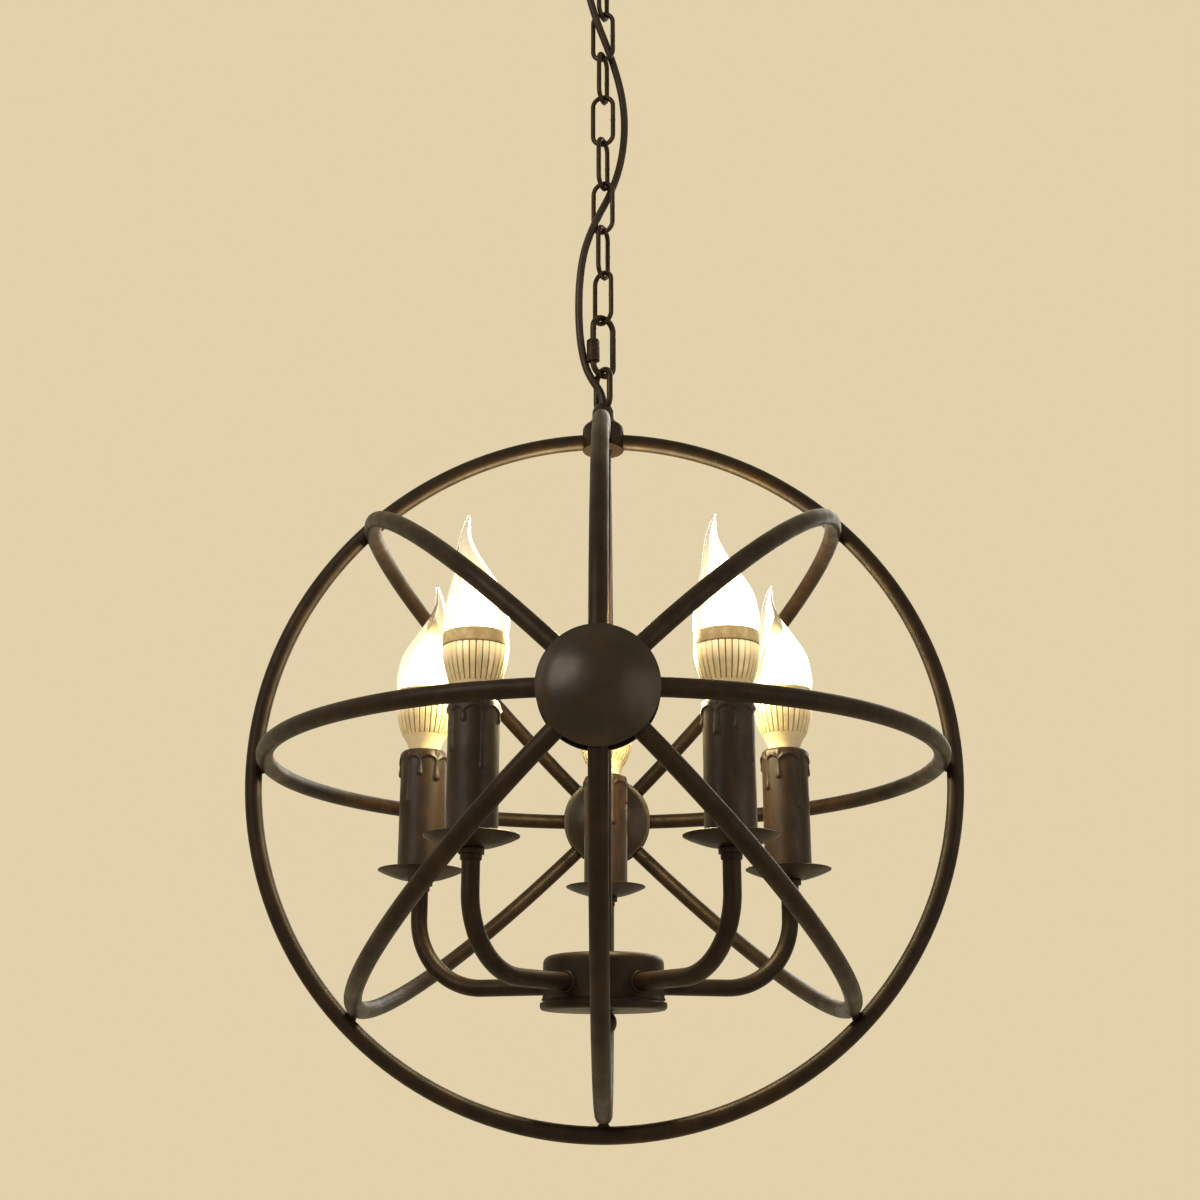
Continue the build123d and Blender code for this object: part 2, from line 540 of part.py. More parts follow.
sleeve_outline = [
    (SLEEVE_BORE_R, SLEEVE_BOTTOM), (SLEEVE_R, SLEEVE_BOTTOM), (SLEEVE_R, SLEEVE_TOP - 2.2),
    (12.4, SLEEVE_TOP), (SLEEVE_MOUTH_R, SLEEVE_TOP), (SLEEVE_MOUTH_R, SLEEVE_TOP - 2.4),
    (SLEEVE_BORE_R, SLEEVE_BORE_TOP),
]
with BuildPart() as plain_sleeve:
    add(turned(lamp_axis, sleeve_outline, SLEEVE_SIDES))

bulb_cap = [(BULB_CAP_BOTTOM, BULB_CAP_R), (BULB_SEAT, BULB_CAP_R)]
bulb_neck = [(BULB_SEAT, 9.0), (SLEEVE_TOP, 9.5), (SINK_BOTTOM, 13.0)]
bulb_sink = [(SINK_BOTTOM, SINK_R_LOW), (SINK_TOP, SINK_R_HIGH), (BAND_TOP, SINK_R_HIGH)]
bulb_fin_gap = [
    (SINK_R_LOW - FIN_DEPTH, SINK_BOTTOM - 1), (SINK_R_HIGH - FIN_DEPTH, SINK_TOP),
    (SINK_R_HIGH + 2, SINK_TOP), (SINK_R_HIGH + 2, SINK_BOTTOM - 1),
]
with BuildPart() as bulb_base:
    add(stacked(lamp_axis, bulb_sink, BULB_SIDES))
    for number in range(BULB_SIDES):
        with BuildSketch(upright(360 / BULB_SIDES * number, (0, 0, 0))):
            Polygon(*bulb_fin_gap, align=None)
    extrude(amount=FIN_GAP / 2, both=True, mode=Mode.SUBTRACT)
    add(stacked(lamp_axis, bulb_neck, BULB_SIDES))
    add(stacked(lamp_axis, bulb_cap, BULB_SIDES))

# Stations of the glass: height, radius and how far the flame leans there, its tip curling back.
flame = [
    (BAND_TOP, 18.0, 0), (64, 18.6, 0), (78, 16.2, 0.2), (92, 11.2, 3.1),
    (104, 6.8, 6.1), (114, 4.0, 7.1), (122, 2.3, 5.8), (128, 1.1, 4.4),
]
# Wax drips of each sleeve: direction from the sleeve's axis, length below the lip, radius.
DRIPS = (
    ((215, 22, 1.9), (300, 34, 1.7)),
    ((225, 18, 1.8), (290, 30, 2.0)),
    ((235, 30, 1.8), (310, 16, 2.1)),
    ((220, 26, 1.8), (295, 36, 1.7)),
    ((240, 17, 2.1), (325, 32, 1.7)),
)
DRIP_TOP = SLEEVE_TOP - 2.6


def lamp_frame(azimuth, x_yaw):
    """A lamp's upright frame at the height of the orb's centre."""
    return Plane(origin=ORB + heading(azimuth) * LAMP_CIRCLE_R, x_dir=heading(x_yaw), z_dir=UP)


def drip(frame, direction, length, radius):
    """A run of wax down the outside of a sleeve, with a rounded end."""
    sunk_r = SLEEVE_R - 0.4
    foot = Plane(origin=frame.origin + heading(direction) * sunk_r, x_dir=heading(direction), z_dir=UP)
    low = DRIP_TOP - length
    return stacked(foot, [(low - radius, 0.4 * radius), (low, radius), (DRIP_TOP, 0.7 * radius)], 5)


with BuildPart() as arm_nuts:
    for azimuth in LAMP_AZIMUTHS:
        with Locations(lamp_frame(azimuth, azimuth)):
            add(arm_nut.part)
save(arm_nuts, "arm_nuts")

with BuildPart() as lampholders:
    for azimuth in LAMP_AZIMUTHS:
        with Locations(lamp_frame(azimuth, azimuth)):
            add(holder.part)
save(lampholders, "lampholders")

for number, (azimuth, flame_yaw, drips) in enumerate(zip(LAMP_AZIMUTHS, FLAME_YAWS, DRIPS), 1):
    outward = lamp_frame(azimuth, azimuth)
    for label, shape in (("arm", arm), ("drip_pan", pan.part), ("bulb_base", bulb_base.part)):
        with BuildPart() as placed:
            with Locations(outward):
                add(shape)
        save(placed, f"{label}_{number}")

    with BuildPart() as sleeve:
        with Locations(outward):
            add(plain_sleeve.part)
        for direction, length, radius in drips:
            add(drip(outward, direction, length, radius))
        with BuildSketch(outward.offset(SLEEVE_BOTTOM)):
            flats(SLEEVE_BORE_R, SLEEVE_SIDES)
        extrude(amount=SLEEVE_BORE_TOP - SLEEVE_BOTTOM, mode=Mode.SUBTRACT)
    save(sleeve, f"sleeve_{number}")

    with BuildPart() as bulb_glass:
        add(stacked(lamp_frame(azimuth, flame_yaw), flame, BULB_SIDES))
    save(bulb_glass, f"bulb_glass_{number}")
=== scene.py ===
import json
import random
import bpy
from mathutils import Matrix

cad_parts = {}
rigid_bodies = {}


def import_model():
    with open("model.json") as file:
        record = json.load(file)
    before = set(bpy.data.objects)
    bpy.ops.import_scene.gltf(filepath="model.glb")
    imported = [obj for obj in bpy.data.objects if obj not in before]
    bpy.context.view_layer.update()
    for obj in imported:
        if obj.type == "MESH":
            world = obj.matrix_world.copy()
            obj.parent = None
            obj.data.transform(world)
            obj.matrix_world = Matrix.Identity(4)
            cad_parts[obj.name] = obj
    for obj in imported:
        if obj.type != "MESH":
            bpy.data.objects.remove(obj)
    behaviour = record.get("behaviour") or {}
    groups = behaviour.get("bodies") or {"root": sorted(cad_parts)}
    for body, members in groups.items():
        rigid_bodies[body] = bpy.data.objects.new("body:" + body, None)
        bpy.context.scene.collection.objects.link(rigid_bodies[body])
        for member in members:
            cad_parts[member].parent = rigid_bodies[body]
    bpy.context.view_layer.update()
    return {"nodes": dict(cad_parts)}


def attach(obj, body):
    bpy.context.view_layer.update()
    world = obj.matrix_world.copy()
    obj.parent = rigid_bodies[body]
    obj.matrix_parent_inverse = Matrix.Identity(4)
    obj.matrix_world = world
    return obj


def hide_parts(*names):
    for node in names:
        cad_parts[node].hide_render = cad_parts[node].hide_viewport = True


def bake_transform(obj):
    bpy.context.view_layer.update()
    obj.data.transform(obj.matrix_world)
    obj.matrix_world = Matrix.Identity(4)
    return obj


bl_info = {
    "name": "Orb Chandelier",
    "version": (1, 0, 0),
    "blender": (4, 5, 0),
    "location": "3D View > Sidebar > Chandelier",
    "description": "Dresses the packed orb chandelier: bronze tube, wax-run sleeves, lit bulbs and cable",
    "category": "Object",
}

from math import asin, atan2, cos, degrees, exp, hypot, pi, radians, sin, sqrt

import bpy
from bpy.props import FloatProperty, FloatVectorProperty, PointerProperty
from mathutils import Matrix, Vector

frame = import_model()

# Sizes without a unit in their name are millimetres and angles are degrees; the settings are metres. Heights
# on the orb and the lamps are measured from the orb's centre, those of the canopy and the chain's links from
# the ceiling. The poles, where four hoops cross, lie in front (-Y) and behind (+Y).
MM = 0.001
ORB_HEIGHT = -650.1
UP = Vector((0, 0, 1))
RIGHT = Vector((1, 0, 0))
FRONT = Vector((0, -1, 0))
POLES = (FRONT, -FRONT)

LAMP_AZIMUTHS = (18, 90, 162, 234, 306)
FLAME_YAWS = (178, 182, 2, 183, 180)        # the way that each lamp's flame leans
POLE_GAP = 13.6               # where the half-hoops end, from the pole axis
HUB_GAP = 8.0                 # where hoops end beside the hub's core

CANOPY_BOTTOM, RING_NUT_BOTTOM, CANOPY_COLLAR_BOTTOM = -26, -31, -40
RING_NUT_R, KNURLS = 11.0, 48
KNURL_ROOT = 0.975            # a groove's radius on the ring nut, as a share of the nut's
CANOPY_EYE_HEIGHT, CANOPY_EYE_YAW = -48, 90
CANOPY_EYE_LINE_HEIGHT, CANOPY_EYE_BEND_R = 20, 8.0

EYE_WIRE_R = 2.0
LINK_WIRE_R = 1.6
LINK_BEND_R = 6.9
LINK_LINE_HEIGHT = 36.55
LINK_1_HEIGHT = -72.375
LINK_2_HEIGHT = -105.425
LINK_PITCH = 33.3
LINK_YAWS = (0, 68, -12, 68, -12, 66, -24, 64, -40)
QUICK_HEIGHT = 276.45         # of the quick link, from the orb's centre
QUICK_YAW = 38
QUICK_BEND_R = 8.0
QUICK_LINE_HEIGHT = 41.0
QUICK_GAP_TOP, QUICK_GAP_BOTTOM = -4.0, -11.0
QUICK_NUT_R = 3.8
QUICK_NUT_LENGTH = 15.0
QUICK_NUT_RISE = 2.5          # of the sleeve nut's middle over the gap's

# The supply cable, from the canopy eye's collar down through the chain into the hub eye's collar, in
# points from the orb's centre.
CABLE_ROUTE = [
    (0, 0, 610.1), (0, 0, 604.5), (-9.5, -5, 595.5), (-13, -9, 572), (-10, -8.5, 534.4),
    (10, 8.5, 488.4), (16, 7.5, 446), (10, 8, 403), (-10, -8, 353.4), (-15.5, -9, 322),
    (-15.8, -5, 288), (-12.5, -1.5, 265), (-7.5, -0.7, 253), (0, 0, 242.5), (0, 0, 235),
]
# The cable crosses both swing joints, so it is parted between them. Each stretch has its length, and the
# heights from the ceiling between which it would turn from the upper body to the lower; both go unused.
CABLE_PARTING_M = -0.068
CABLE_TOP_LENGTH_M, CABLE_TOP_TURN_M = 0.033, (-0.042, -0.062)
CABLE_LENGTH_M, CABLE_TURN_M = 0.362, (-0.072, -0.125)

# The hub: the disc under the hoops, the bell cup over them with its cross slots for the hoops, and the
# collar and the eye on top.
DISC_BOTTOM, CUP_BOTTOM, SLOT_TOP = 203.7, 204.9, 215.15
SLOT_LENGTH, SLOT_WIDTH = 39, 10.3
HUB_COLLAR_BOTTOM, HUB_COLLAR_TOP = 224, 235
HUB_EYE_HEIGHT, HUB_EYE_YAW = 246, -52
HUB_EYE_LINE_HEIGHT, HUB_EYE_BEND_R = 28, 7.0

# The orb: the directions in which each hoop's halves bulge, its welds, and the set screws near the poles.
HOOP_LEANS = {"hoop_level": (90, 270), "hoop_slant_right": (45, 225), "hoop_slant_left": (135, 315)}
WELD_R, WELD_HEIGHT = 2.5, 204.7            # the beads lie half-way between the two sizes of hoop
SCREW_REACH = 41.0            # of the set screws from the pole axis

# The cluster of arms, and the finial under it.
DRUM_TOP, DRUM_BOTTOM, COVER_BOTTOM = -109.5, -136, -142
BORE_R = 4.2                  # of the stem and of the drum round it
ARM_HEIGHT, ARM_INNER_R, ARM_TOP = -127.5, 11.5, -54.0
BALL_HEIGHT, BALL_R = -148.5, 7.6
PAN_SEAT = -62.5              # where each drip pan rests on its collar nut

# The candle sleeves and the wax that has run down them. No wax runs lower than WAX_BOTTOM.
SLEEVE_TOP, SLEEVE_SIDE_TOP, SLEEVE_BOTTOM = 17.6, 13.4, -59.55
SLEEVE_BORE_R, SLEEVE_MOUTH_R = 11.6, 10.2
SLEEVE_ROWS, SLEEVE_STEPS = 104, 176
WAX_TOP, WAX_BOTTOM = 15.0, -28.0
WAX_FILM, WAX_RIM = 0.35, 0.75              # how thick the wax is under the lip, and how much more at its rim
WAX_RIM_RISE, WAX_RIM_WIDTH, WAX_EDGE_WIDTH = 0.9, 1.3, 0.8
ARCH_TOP, ARCH_DROP = 11.8, 4.6             # the wax's lower edge arches from run to run
# A run's upper part is narrower than the drop at its foot. These are shares of the run's half width.
RUN_WIDTH, RUN_DEPTH, DROP_DEPTH, DROP_LENGTH = 0.68, 0.42, 0.30, 2.2
# Long wax runs of each sleeve: direction from its axis, length below the lip, half width.
WAX_RUNS = (
    ((215, 22, 1.9), (300, 34, 1.7)),
    ((225, 18, 1.8), (290, 30, 2.0)),
    ((235, 30, 1.8), (310, 16, 2.1)),
    ((220, 26, 1.8), (295, 36, 1.7)),
    ((240, 17, 2.1), (325, 32, 1.7)),
)
# Short runs are drawn at random: how far each strays from its place, and spans of length and half width.
REAR_SHORT_RUNS, SHORT_RUN_STRAY = 4, 12
SHORT_RUN_LENGTHS, SHORT_RUN_WIDTHS = (9, 17), (1.3, 1.8)

# The bulbs: a screw cap and a neck below a ribbed heat sink, then the ring that holds the flame of glass.
NECK_BOTTOM, SINK_BOTTOM, SINK_TOP, BAND_BOTTOM, BAND_TOP = 13.1, 26.6, 47.6, 48.4, 55.6
SINK_R_LOW, SINK_R_HIGH = 14.0, 18.4
THREADS, THREAD_PITCH = 6, 3
FIN_COUNT, FIN_SHARE, FIN_DEPTH = 30, 0.76, 1.2     # ribs, how much of the round they cover, their height
FIN_ROOT = 0.8                # how deep a rib is sunk in the casting
# A rib starts this far above the sink's foot, and is rounded off this far up, by this share of its height.
FIN_START, FIN_FOOT, FIN_FOOT_DROP = 0.4, 1.6, 0.8
GLASS_WALL = 0.9
FLAME = [(18.0, BAND_TOP), (18.6, 64), (16.0, 78), (10.6, 92), (6.0, 104), (3.4, 113), (2.1, 120),
         (1.2, 125.4)]
GLARE = [(13.5, 57.5), (13.2, 64), (11.2, 75), (7.4, 87), (3.8, 97), (1.5, 103.5), (0, 105)]
LEAN, LEAN_START, LEAN_LENGTH = 7.2, 74.0, 40.0
CURL, CURL_START, CURL_LENGTH = 2.8, 112.0, 16.0
# Heights at which the light of the glass and the glare, and the painted glow of the heat sink, is out and
# full, and its strength.
GLASS_DARK, GLASS_FULL, GLASS_STRENGTH, GLASS_LEAST = 118, 72, 0.25, 0.03
GLARE_DARK, GLARE_FULL, GLARE_STRENGTH = 104, 74, 5.0
SINK_GLOW_DARK, SINK_GLOW_FULL, SINK_GLOW_STRENGTH, SINK_GLOW_LEAST = 35, 50, 0.7, 0.06

# How the finishes' noise is read: most of it lies in NOISE_SPAN, and the rubbed colour comes in over
# RUB_SPAN.
NOISE_SPAN, RUB_SPAN = (0.3, 0.7), (0.42, 0.72)
GRAIN_TONE = 0.14             # how much lighter and darker the grain makes a colour
ROUGHNESS_STRAY = 0.07

# The stage. Each lamp has its place from the orb's centre and its size in metres, and its power in watts.
STUDIO_LAMPS = {
    "key_light": ((-1.3, -1.5, 0.9), 1.2, 20),
    "fill_light": ((1.6, -1.2, 0.1), 1.6, 8),
    "rim_light": ((0.6, 1.8, 0.9), 1.2, 16),
}
LAMP_COLOUR, SURROUND_COLOUR = (1.0, 0.94, 0.86), (1.0, 0.95, 0.88)
SURROUND_STRENGTH = 0.48
FLOOR_SIZE_M, FLOOR_HEIGHT_M, FLOOR_LIFT = 14, -2.4, 0.5
BULB_GLOW_HEIGHT, BULB_GLOW_POWER, BULB_GLOW_SIZE_M = 85, 4.5, 0.035
CAMERA_FROM_ORB = (12.7, -976.6, -195.6)
CAMERA_FORWARD = (-0.01443, 0.95568, 0.29407)
CAMERA_LENS, CAMERA_SENSOR, CAMERA_CLIP_START_M = 49.62, 36, 0.02


def linear(hex_colour):
    """An sRGB hex colour as linear red, green and blue."""
    values = [int(hex_colour[i:i + 2], 16) / 255 for i in (1, 3, 5)]
    return tuple(v / 12.92 if v <= 0.04045 else ((v + 0.055) / 1.055) ** 2.4 for v in values)


def colour(name, description, hex_colour):
    """A colour setting with its default."""
    return FloatVectorProperty(name=name, description=description, subtype="COLOR", size=3, min=0, max=1,
                               default=linear(hex_colour))


def length(name, description, millimetres):
    """A length setting with its default."""
    return FloatProperty(name=name, description=description, unit="LENGTH", min=0.0001,
                         default=millimetres * MM)


class ChandelierSizes(bpy.types.PropertyGroup):
    """Sizes that a user would change."""

    tube_radius: length("Tube radius", "Radius of the hoops, arms and stem", 5.0)
    outer_hoop_radius: length("Outer hoop radius", "Centreline radius of the frontal hoop", 210.0)
    inner_hoop_radius: length("Inner hoop radius", "Centreline radius of the hoops through the poles", 199.4)
    lamp_circle_radius: length("Lamp circle radius", "Distance of each candle from the stem", 118.0)
    arm_bend_radius: length("Arm bend radius", "Centreline radius of each arm's bend", 42.0)
    pan_radius: length("Drip pan radius", "Radius of the drip pans", 26.0)
    sleeve_radius: length("Sleeve radius", "Outside radius of the candle sleeves", 14.25)
    cable_diameter: length("Cable diameter", "Diameter of the supply cable", 5.0)


class ChandelierColours(bpy.types.PropertyGroup):
    """Colours of the finishes and the stage."""

    bronze: colour("Bronze paint", "Rubbed bronze powder coat", "#1c1209")
    bronze_rub: colour("Bronze rub", "Warmer brown where the coat is rubbed thin", "#3a2612")
    wire: colour("Chain wire", "Bronze-plated steel wire", "#24190f")
    wire_rub: colour("Chain rub", "Brighter plating on the rubbed wire", "#4a3220")
    screw: colour("Set screws", "Blackened steel screws", "#0c0806")
    sheath: colour("Cable sheath", "Brown cable sheath", "#21150c")
    wax: colour("Candle sleeve", "Painted candle sleeve with wax runs", "#20150c")
    wax_rub: colour("Wax highlight", "Brown brushed over the wax runs", "#432d1a")
    zinc: colour("Zinc plate", "Plated ceiling hardware", "#b4b6b4")
    aluminium: colour("Heat sink", "Die-cast aluminium of the bulbs", "#d6c39b")
    groove: colour("Heat sink grooves", "The casting in shade between the ribs", "#7a6238")
    neck: colour("Bulb neck", "Pale plastic neck of the bulbs", "#d9c49b")
    band: colour("Bulb band", "Ring where the glass begins", "#b9965a")
    holder: colour("Lampholder", "Moulded lampholder", "#d9d2c2")
    glow: colour("Glow", "Warm white light of the bulbs", "#ffe9ae")
    wall: colour("Backdrop", "Plain pale backdrop", "#e2d1ab")
    floor: colour("Floor", "Plain pale floor", "#e2d1ab")


# ---- shapes ----
def deselect():
    """Leaves no object selected."""
    bpy.ops.object.select_all(action="DESELECT")


def named(name):
    """Names the object that an operator has just added."""
    piece = bpy.context.object
    piece.name = name
    piece.data.name = name
    return piece


def orb_point(x, y, z):
    """A point given in millimetres from the orb's centre."""
    return Vector((x, y, z + ORB_HEIGHT)) * MM


def heading(yaw):
    """The level direction at an angle from +X."""
    return Vector((cos(radians(yaw)), sin(radians(yaw)), 0))


def axis_place(origin, direction):
    """The placing that turns +Z to a direction at an origin in metres."""
    return Matrix.Translation(origin) @ Vector(direction).to_track_quat("Z", "Y").to_matrix().to_4x4()


def orb_place(direction=UP):
    """The placing at the orb's centre with +Z along a direction."""
    return axis_place(orb_point(0, 0, 0), direction)


def lamp_place(azimuth):
    """The placing of a lamp: its axis upright, +X away from the stem, the orb's centre as its zero."""
    reach = bpy.context.scene.chandelier_sizes.lamp_circle_radius
    return Matrix.Translation(orb_point(0, 0, 0) + heading(azimuth) * reach) @ Matrix.Rotation(
        radians(azimuth), 4, "Z")


def curved(points, steps=6):
    """A smooth outline through the points, by Catmull-Rom interpolation."""
    knots = [points[0], *points, points[-1]]
    line = [points[0]]
    for a, b, c, d in zip(knots, knots[1:], knots[2:], knots[3:]):
        for i in range(1, steps + 1):
            t = i / steps
            line.append(tuple(
                0.5 * (2 * q + (r - p) * t + (2 * p - 5 * q + 4 * r - s) * t * t
                       + (3 * q - p - 3 * r + s) * t ** 3)
                for p, q, r, s in zip(a, b, c, d)))
    return line


def clean_mesh():
    """Merges doubled points of the active mesh and turns its faces outwards."""
    bpy.ops.object.mode_set(mode="EDIT")
    bpy.ops.mesh.select_all(action="SELECT")
    bpy.ops.mesh.remove_doubles(threshold=1e-6)
    bpy.ops.mesh.normals_make_consistent(inside=False)
    bpy.ops.object.mode_set(mode="OBJECT")


def pick(piece):
    """Makes a piece the active object and the only one selected."""
    deselect()
    piece.select_set(True)
    bpy.context.view_layer.objects.active = piece


def smooth(piece, angle=35):
    """Smooth shading, kept sharp at edges over an angle."""
    pick(piece)
    bpy.ops.object.shade_smooth_by_angle(angle=radians(angle))
    return piece


def finished_with(piece, kind, **settings):
    """Adds a modifier with its settings and applies it."""
    pick(piece)
    modifier = piece.modifiers.new(kind.lower(), kind)
    for name, value in settings.items():
        setattr(modifier, name, value)
    bpy.ops.object.modifier_apply(modifier=modifier.name)
    return piece


def soft_edges(piece, width, segments=2):
    """Rounds the piece's sharp edges by a width in millimetres."""
    return finished_with(piece, "BEVEL", width=width * MM, segments=segments, limit_method="ANGLE",
                         angle_limit=radians(32), use_clamp_overlap=True)


def lathe(name, outline, place=Matrix.Identity(4), steps=64):
    """A turned piece: an outline of (radius, height) spun round the Z axis of a placing."""
    deselect()
    bpy.ops.mesh.primitive_plane_add(size=MM)
    piece = named(name)
    bpy.ops.object.mode_set(mode="EDIT")
    bpy.ops.mesh.select_all(action="SELECT")
    bpy.ops.mesh.merge(type="CENTER")
    bpy.ops.transform.translate(value=Vector((outline[0][0], 0, outline[0][1])) * MM)
    for before, after in zip(outline, outline[1:]):
        step = Vector((after[0] - before[0], 0, after[1] - before[1])) * MM
        bpy.ops.mesh.extrude_region_move(TRANSFORM_OT_translate={"value": step})
    bpy.ops.mesh.select_all(action="SELECT")
    bpy.ops.mesh.spin(steps=steps, angle=2 * pi, center=(0, 0, 0), axis=(0, 0, 1))
    bpy.ops.object.mode_set(mode="OBJECT")
    clean_mesh()
    piece.data.transform(place)
    return smooth(piece)


def bar(name, points, radius, closed=False, sides=24):
    """Round tube or wire along points in metres."""
    deselect()
    bpy.ops.curve.primitive_nurbs_path_add()
    piece = named(name)
    line = piece.data
    line.splines.clear()
    run = line.splines.new("POLY")
    run.points.add(len(points) - 1)
    for spot, point in zip(run.points, points):
        spot.co = (*point, 1)
    run.use_cyclic_u = closed
    line.dimensions = "3D"
    line.bevel_depth = radius
    line.bevel_resolution = sides // 2 - 2
    line.use_fill_caps = not closed
    bpy.ops.object.convert(target="MESH")
    clean_mesh()
    return smooth(bpy.context.object, 60)


def prism(name, sides, radius, bottom, top, place, edge):
    """A nut blank: a regular prism, its flats at a radius, with softened edges."""
    deselect()
    bpy.ops.mesh.primitive_cylinder_add(vertices=sides, radius=radius / cos(pi / sides) * MM,
                                        depth=(top - bottom) * MM, location=(0, 0, (top + bottom) / 2 * MM))
    piece = named(name)
    bpy.ops.object.transform_apply(location=True, rotation=True, scale=True)
    soft_edges(piece, edge)
    piece.data.transform(place)
    return smooth(piece)


def cut_level(piece, height, keep_above):
    """Cuts a piece at a height in metres, keeps the part above or below, and closes the cut."""
    pick(piece)
    bpy.ops.object.mode_set(mode="EDIT")
    bpy.ops.mesh.select_all(action="SELECT")
    bpy.ops.mesh.bisect(plane_co=(0, 0, height), plane_no=(0, 0, 1), use_fill=True,
                        clear_inner=keep_above, clear_outer=not keep_above)
    bpy.ops.object.mode_set(mode="OBJECT")
    return smooth(piece, 60)


def copy_of(piece, name, place=Matrix.Identity(4)):
    """A copy with its own mesh, placed."""
    copy = piece.copy()
    copy.data = piece.data.copy()
    bpy.context.scene.collection.objects.link(copy)
    copy.name = name
    copy.data.name = name
    copy.data.transform(place)
    return copy


def remove(*pieces):
    """Deletes patterns that have been copied."""
    for piece in pieces:
        bpy.data.objects.remove(piece)


def joined(name, pieces):
    """Joins pieces into one object."""
    deselect()
    for piece in pieces:
        piece.select_set(True)
    bpy.context.view_layer.objects.active = pieces[0]
    bpy.ops.object.join()
    return named(name)


def painted(piece, material):
    """Gives a piece its one material."""
    piece.data.materials.clear()
    piece.data.materials.append(material)
    return piece


def arc(start_reach, side_reach, first, last, step=2.0):
    """Points in metres round the orb's centre, from the first to the last angle off the start reach."""
    count = max(2, round((last - first) / step))
    turns = [radians(first + (last - first) * i / count) for i in range(count + 1)]
    return [orb_point(0, 0, 0) + start_reach * cos(t) + side_reach * sin(t) for t in turns]


def oval(centre, yaw, line_height, bend_r, steps=16):
    """The centreline of an upright oval ring, in metres; centre is in millimetres from the ceiling."""
    leg = line_height / 2 - bend_r
    flat = [(bend_r * cos(pi * i / steps), leg + bend_r * sin(pi * i / steps)) for i in range(steps + 1)]
    flat += [(-x, -y) for x, y in flat]
    return [(Vector(centre) + heading(yaw) * x + UP * y) * MM for x, y in flat]


# ---- finishes ----
def add_node(tree, kind, inputs=None, **settings):
    """Adds a node with its settings; inputs gives sockets a value or another node's output."""
    made = tree.nodes.new(kind)
    for name, value in settings.items():
        setattr(made, name, value)
    for socket, value in (inputs or {}).items():
        if isinstance(value, bpy.types.NodeSocket):
            tree.links.new(value, made.inputs[socket])
        else:
            made.inputs[socket].default_value = value
    return made


def rgba(colour_value):
    """A colour with full alpha."""
    return (*colour_value, 1)


def fading_light(tree, glow, dark_height, full_height, least=0.0):
    """The glow colour, which fades from full to the least share between two heights on the lamps, and that
    share."""
    place = add_node(tree, "ShaderNodeTexCoord").outputs["Object"]
    height = add_node(tree, "ShaderNodeSeparateXYZ", {"Vector": place}).outputs["Z"]
    share = add_node(tree, "ShaderNodeMapRange", {
        "Value": height, "From Min": (ORB_HEIGHT + dark_height) * MM,
        "From Max": (ORB_HEIGHT + full_height) * MM, "To Min": least, "To Max": 1.0},
        interpolation_type="SMOOTHSTEP").outputs["Result"]
    light = add_node(tree, "ShaderNodeVectorMath", {0: tuple(glow), 1: share}, operation="MULTIPLY")
    return light.outputs["Vector"], share


def finish(name, base, rub, roughness, metallic=0.0, patch=9.0, grain=0.5, grain_depth=0.03, share=0.55,
           stretch=(1, 1, 1), specular=0.5, glow=None, glow_strength=0.0, glow_heights=None):
    """A surface whose colour wanders between base and rub in patches, over a fine grain. Patch, grain and
    grain depth are millimetres; a grain finer than 0.4 mm would not show in a render. Share is how far the
    rub colour comes in, and stretch draws the patches out."""
    material = bpy.data.materials.new(name)
    material.use_nodes = True
    tree = material.node_tree
    shader = tree.nodes["Principled BSDF"]
    place = add_node(tree, "ShaderNodeTexCoord").outputs["Object"]
    place = add_node(tree, "ShaderNodeMapping", {"Vector": place, "Scale": stretch}).outputs["Vector"]
    patches = add_node(tree, "ShaderNodeTexNoise", {
        "Vector": place, "Scale": 1 / (patch * MM), "Detail": 5.0, "Roughness": 0.62})
    grains = add_node(tree, "ShaderNodeTexNoise", {
        "Vector": place, "Scale": 1 / (grain * MM), "Detail": 3.0, "Roughness": 0.55})
    ramp = add_node(tree, "ShaderNodeMapRange", {
        "Value": patches.outputs["Fac"], "From Min": RUB_SPAN[0], "From Max": RUB_SPAN[1],
        "To Min": 0.0, "To Max": share})
    speckle = add_node(tree, "ShaderNodeMapRange", {
        "Value": grains.outputs["Fac"], "From Min": NOISE_SPAN[0], "From Max": NOISE_SPAN[1],
        "To Min": 1 - GRAIN_TONE, "To Max": 1 + GRAIN_TONE})
    mix = add_node(tree, "ShaderNodeMix", {0: ramp.outputs["Result"], 6: rgba(base), 7: rgba(rub)},
                   data_type="RGBA")
    tone = add_node(tree, "ShaderNodeVectorMath", {0: mix.outputs[2], 1: speckle.outputs["Result"]},
                    operation="MULTIPLY")
    rough = add_node(tree, "ShaderNodeMapRange", {
        "Value": patches.outputs["Fac"], "From Min": NOISE_SPAN[0], "From Max": NOISE_SPAN[1],
        "To Min": roughness + ROUGHNESS_STRAY, "To Max": roughness - ROUGHNESS_STRAY})
    bump = add_node(tree, "ShaderNodeBump", {
        "Height": grains.outputs["Fac"], "Strength": 1.0, "Distance": grain_depth * MM})
    tree.links.new(tone.outputs["Vector"], shader.inputs["Base Color"])
    tree.links.new(rough.outputs["Result"], shader.inputs["Roughness"])
    tree.links.new(bump.outputs["Normal"], shader.inputs["Normal"])
    shader.inputs["Metallic"].default_value = metallic
    shader.inputs["Specular IOR Level"].default_value = specular
    if glow:
        shader.inputs["Emission Color"].default_value = rgba(glow)
        shader.inputs["Emission Strength"].default_value = glow_strength
    if glow_heights:
        light, _ = fading_light(tree, glow, *glow_heights)
        tree.links.new(light, shader.inputs["Emission Color"])
    return material


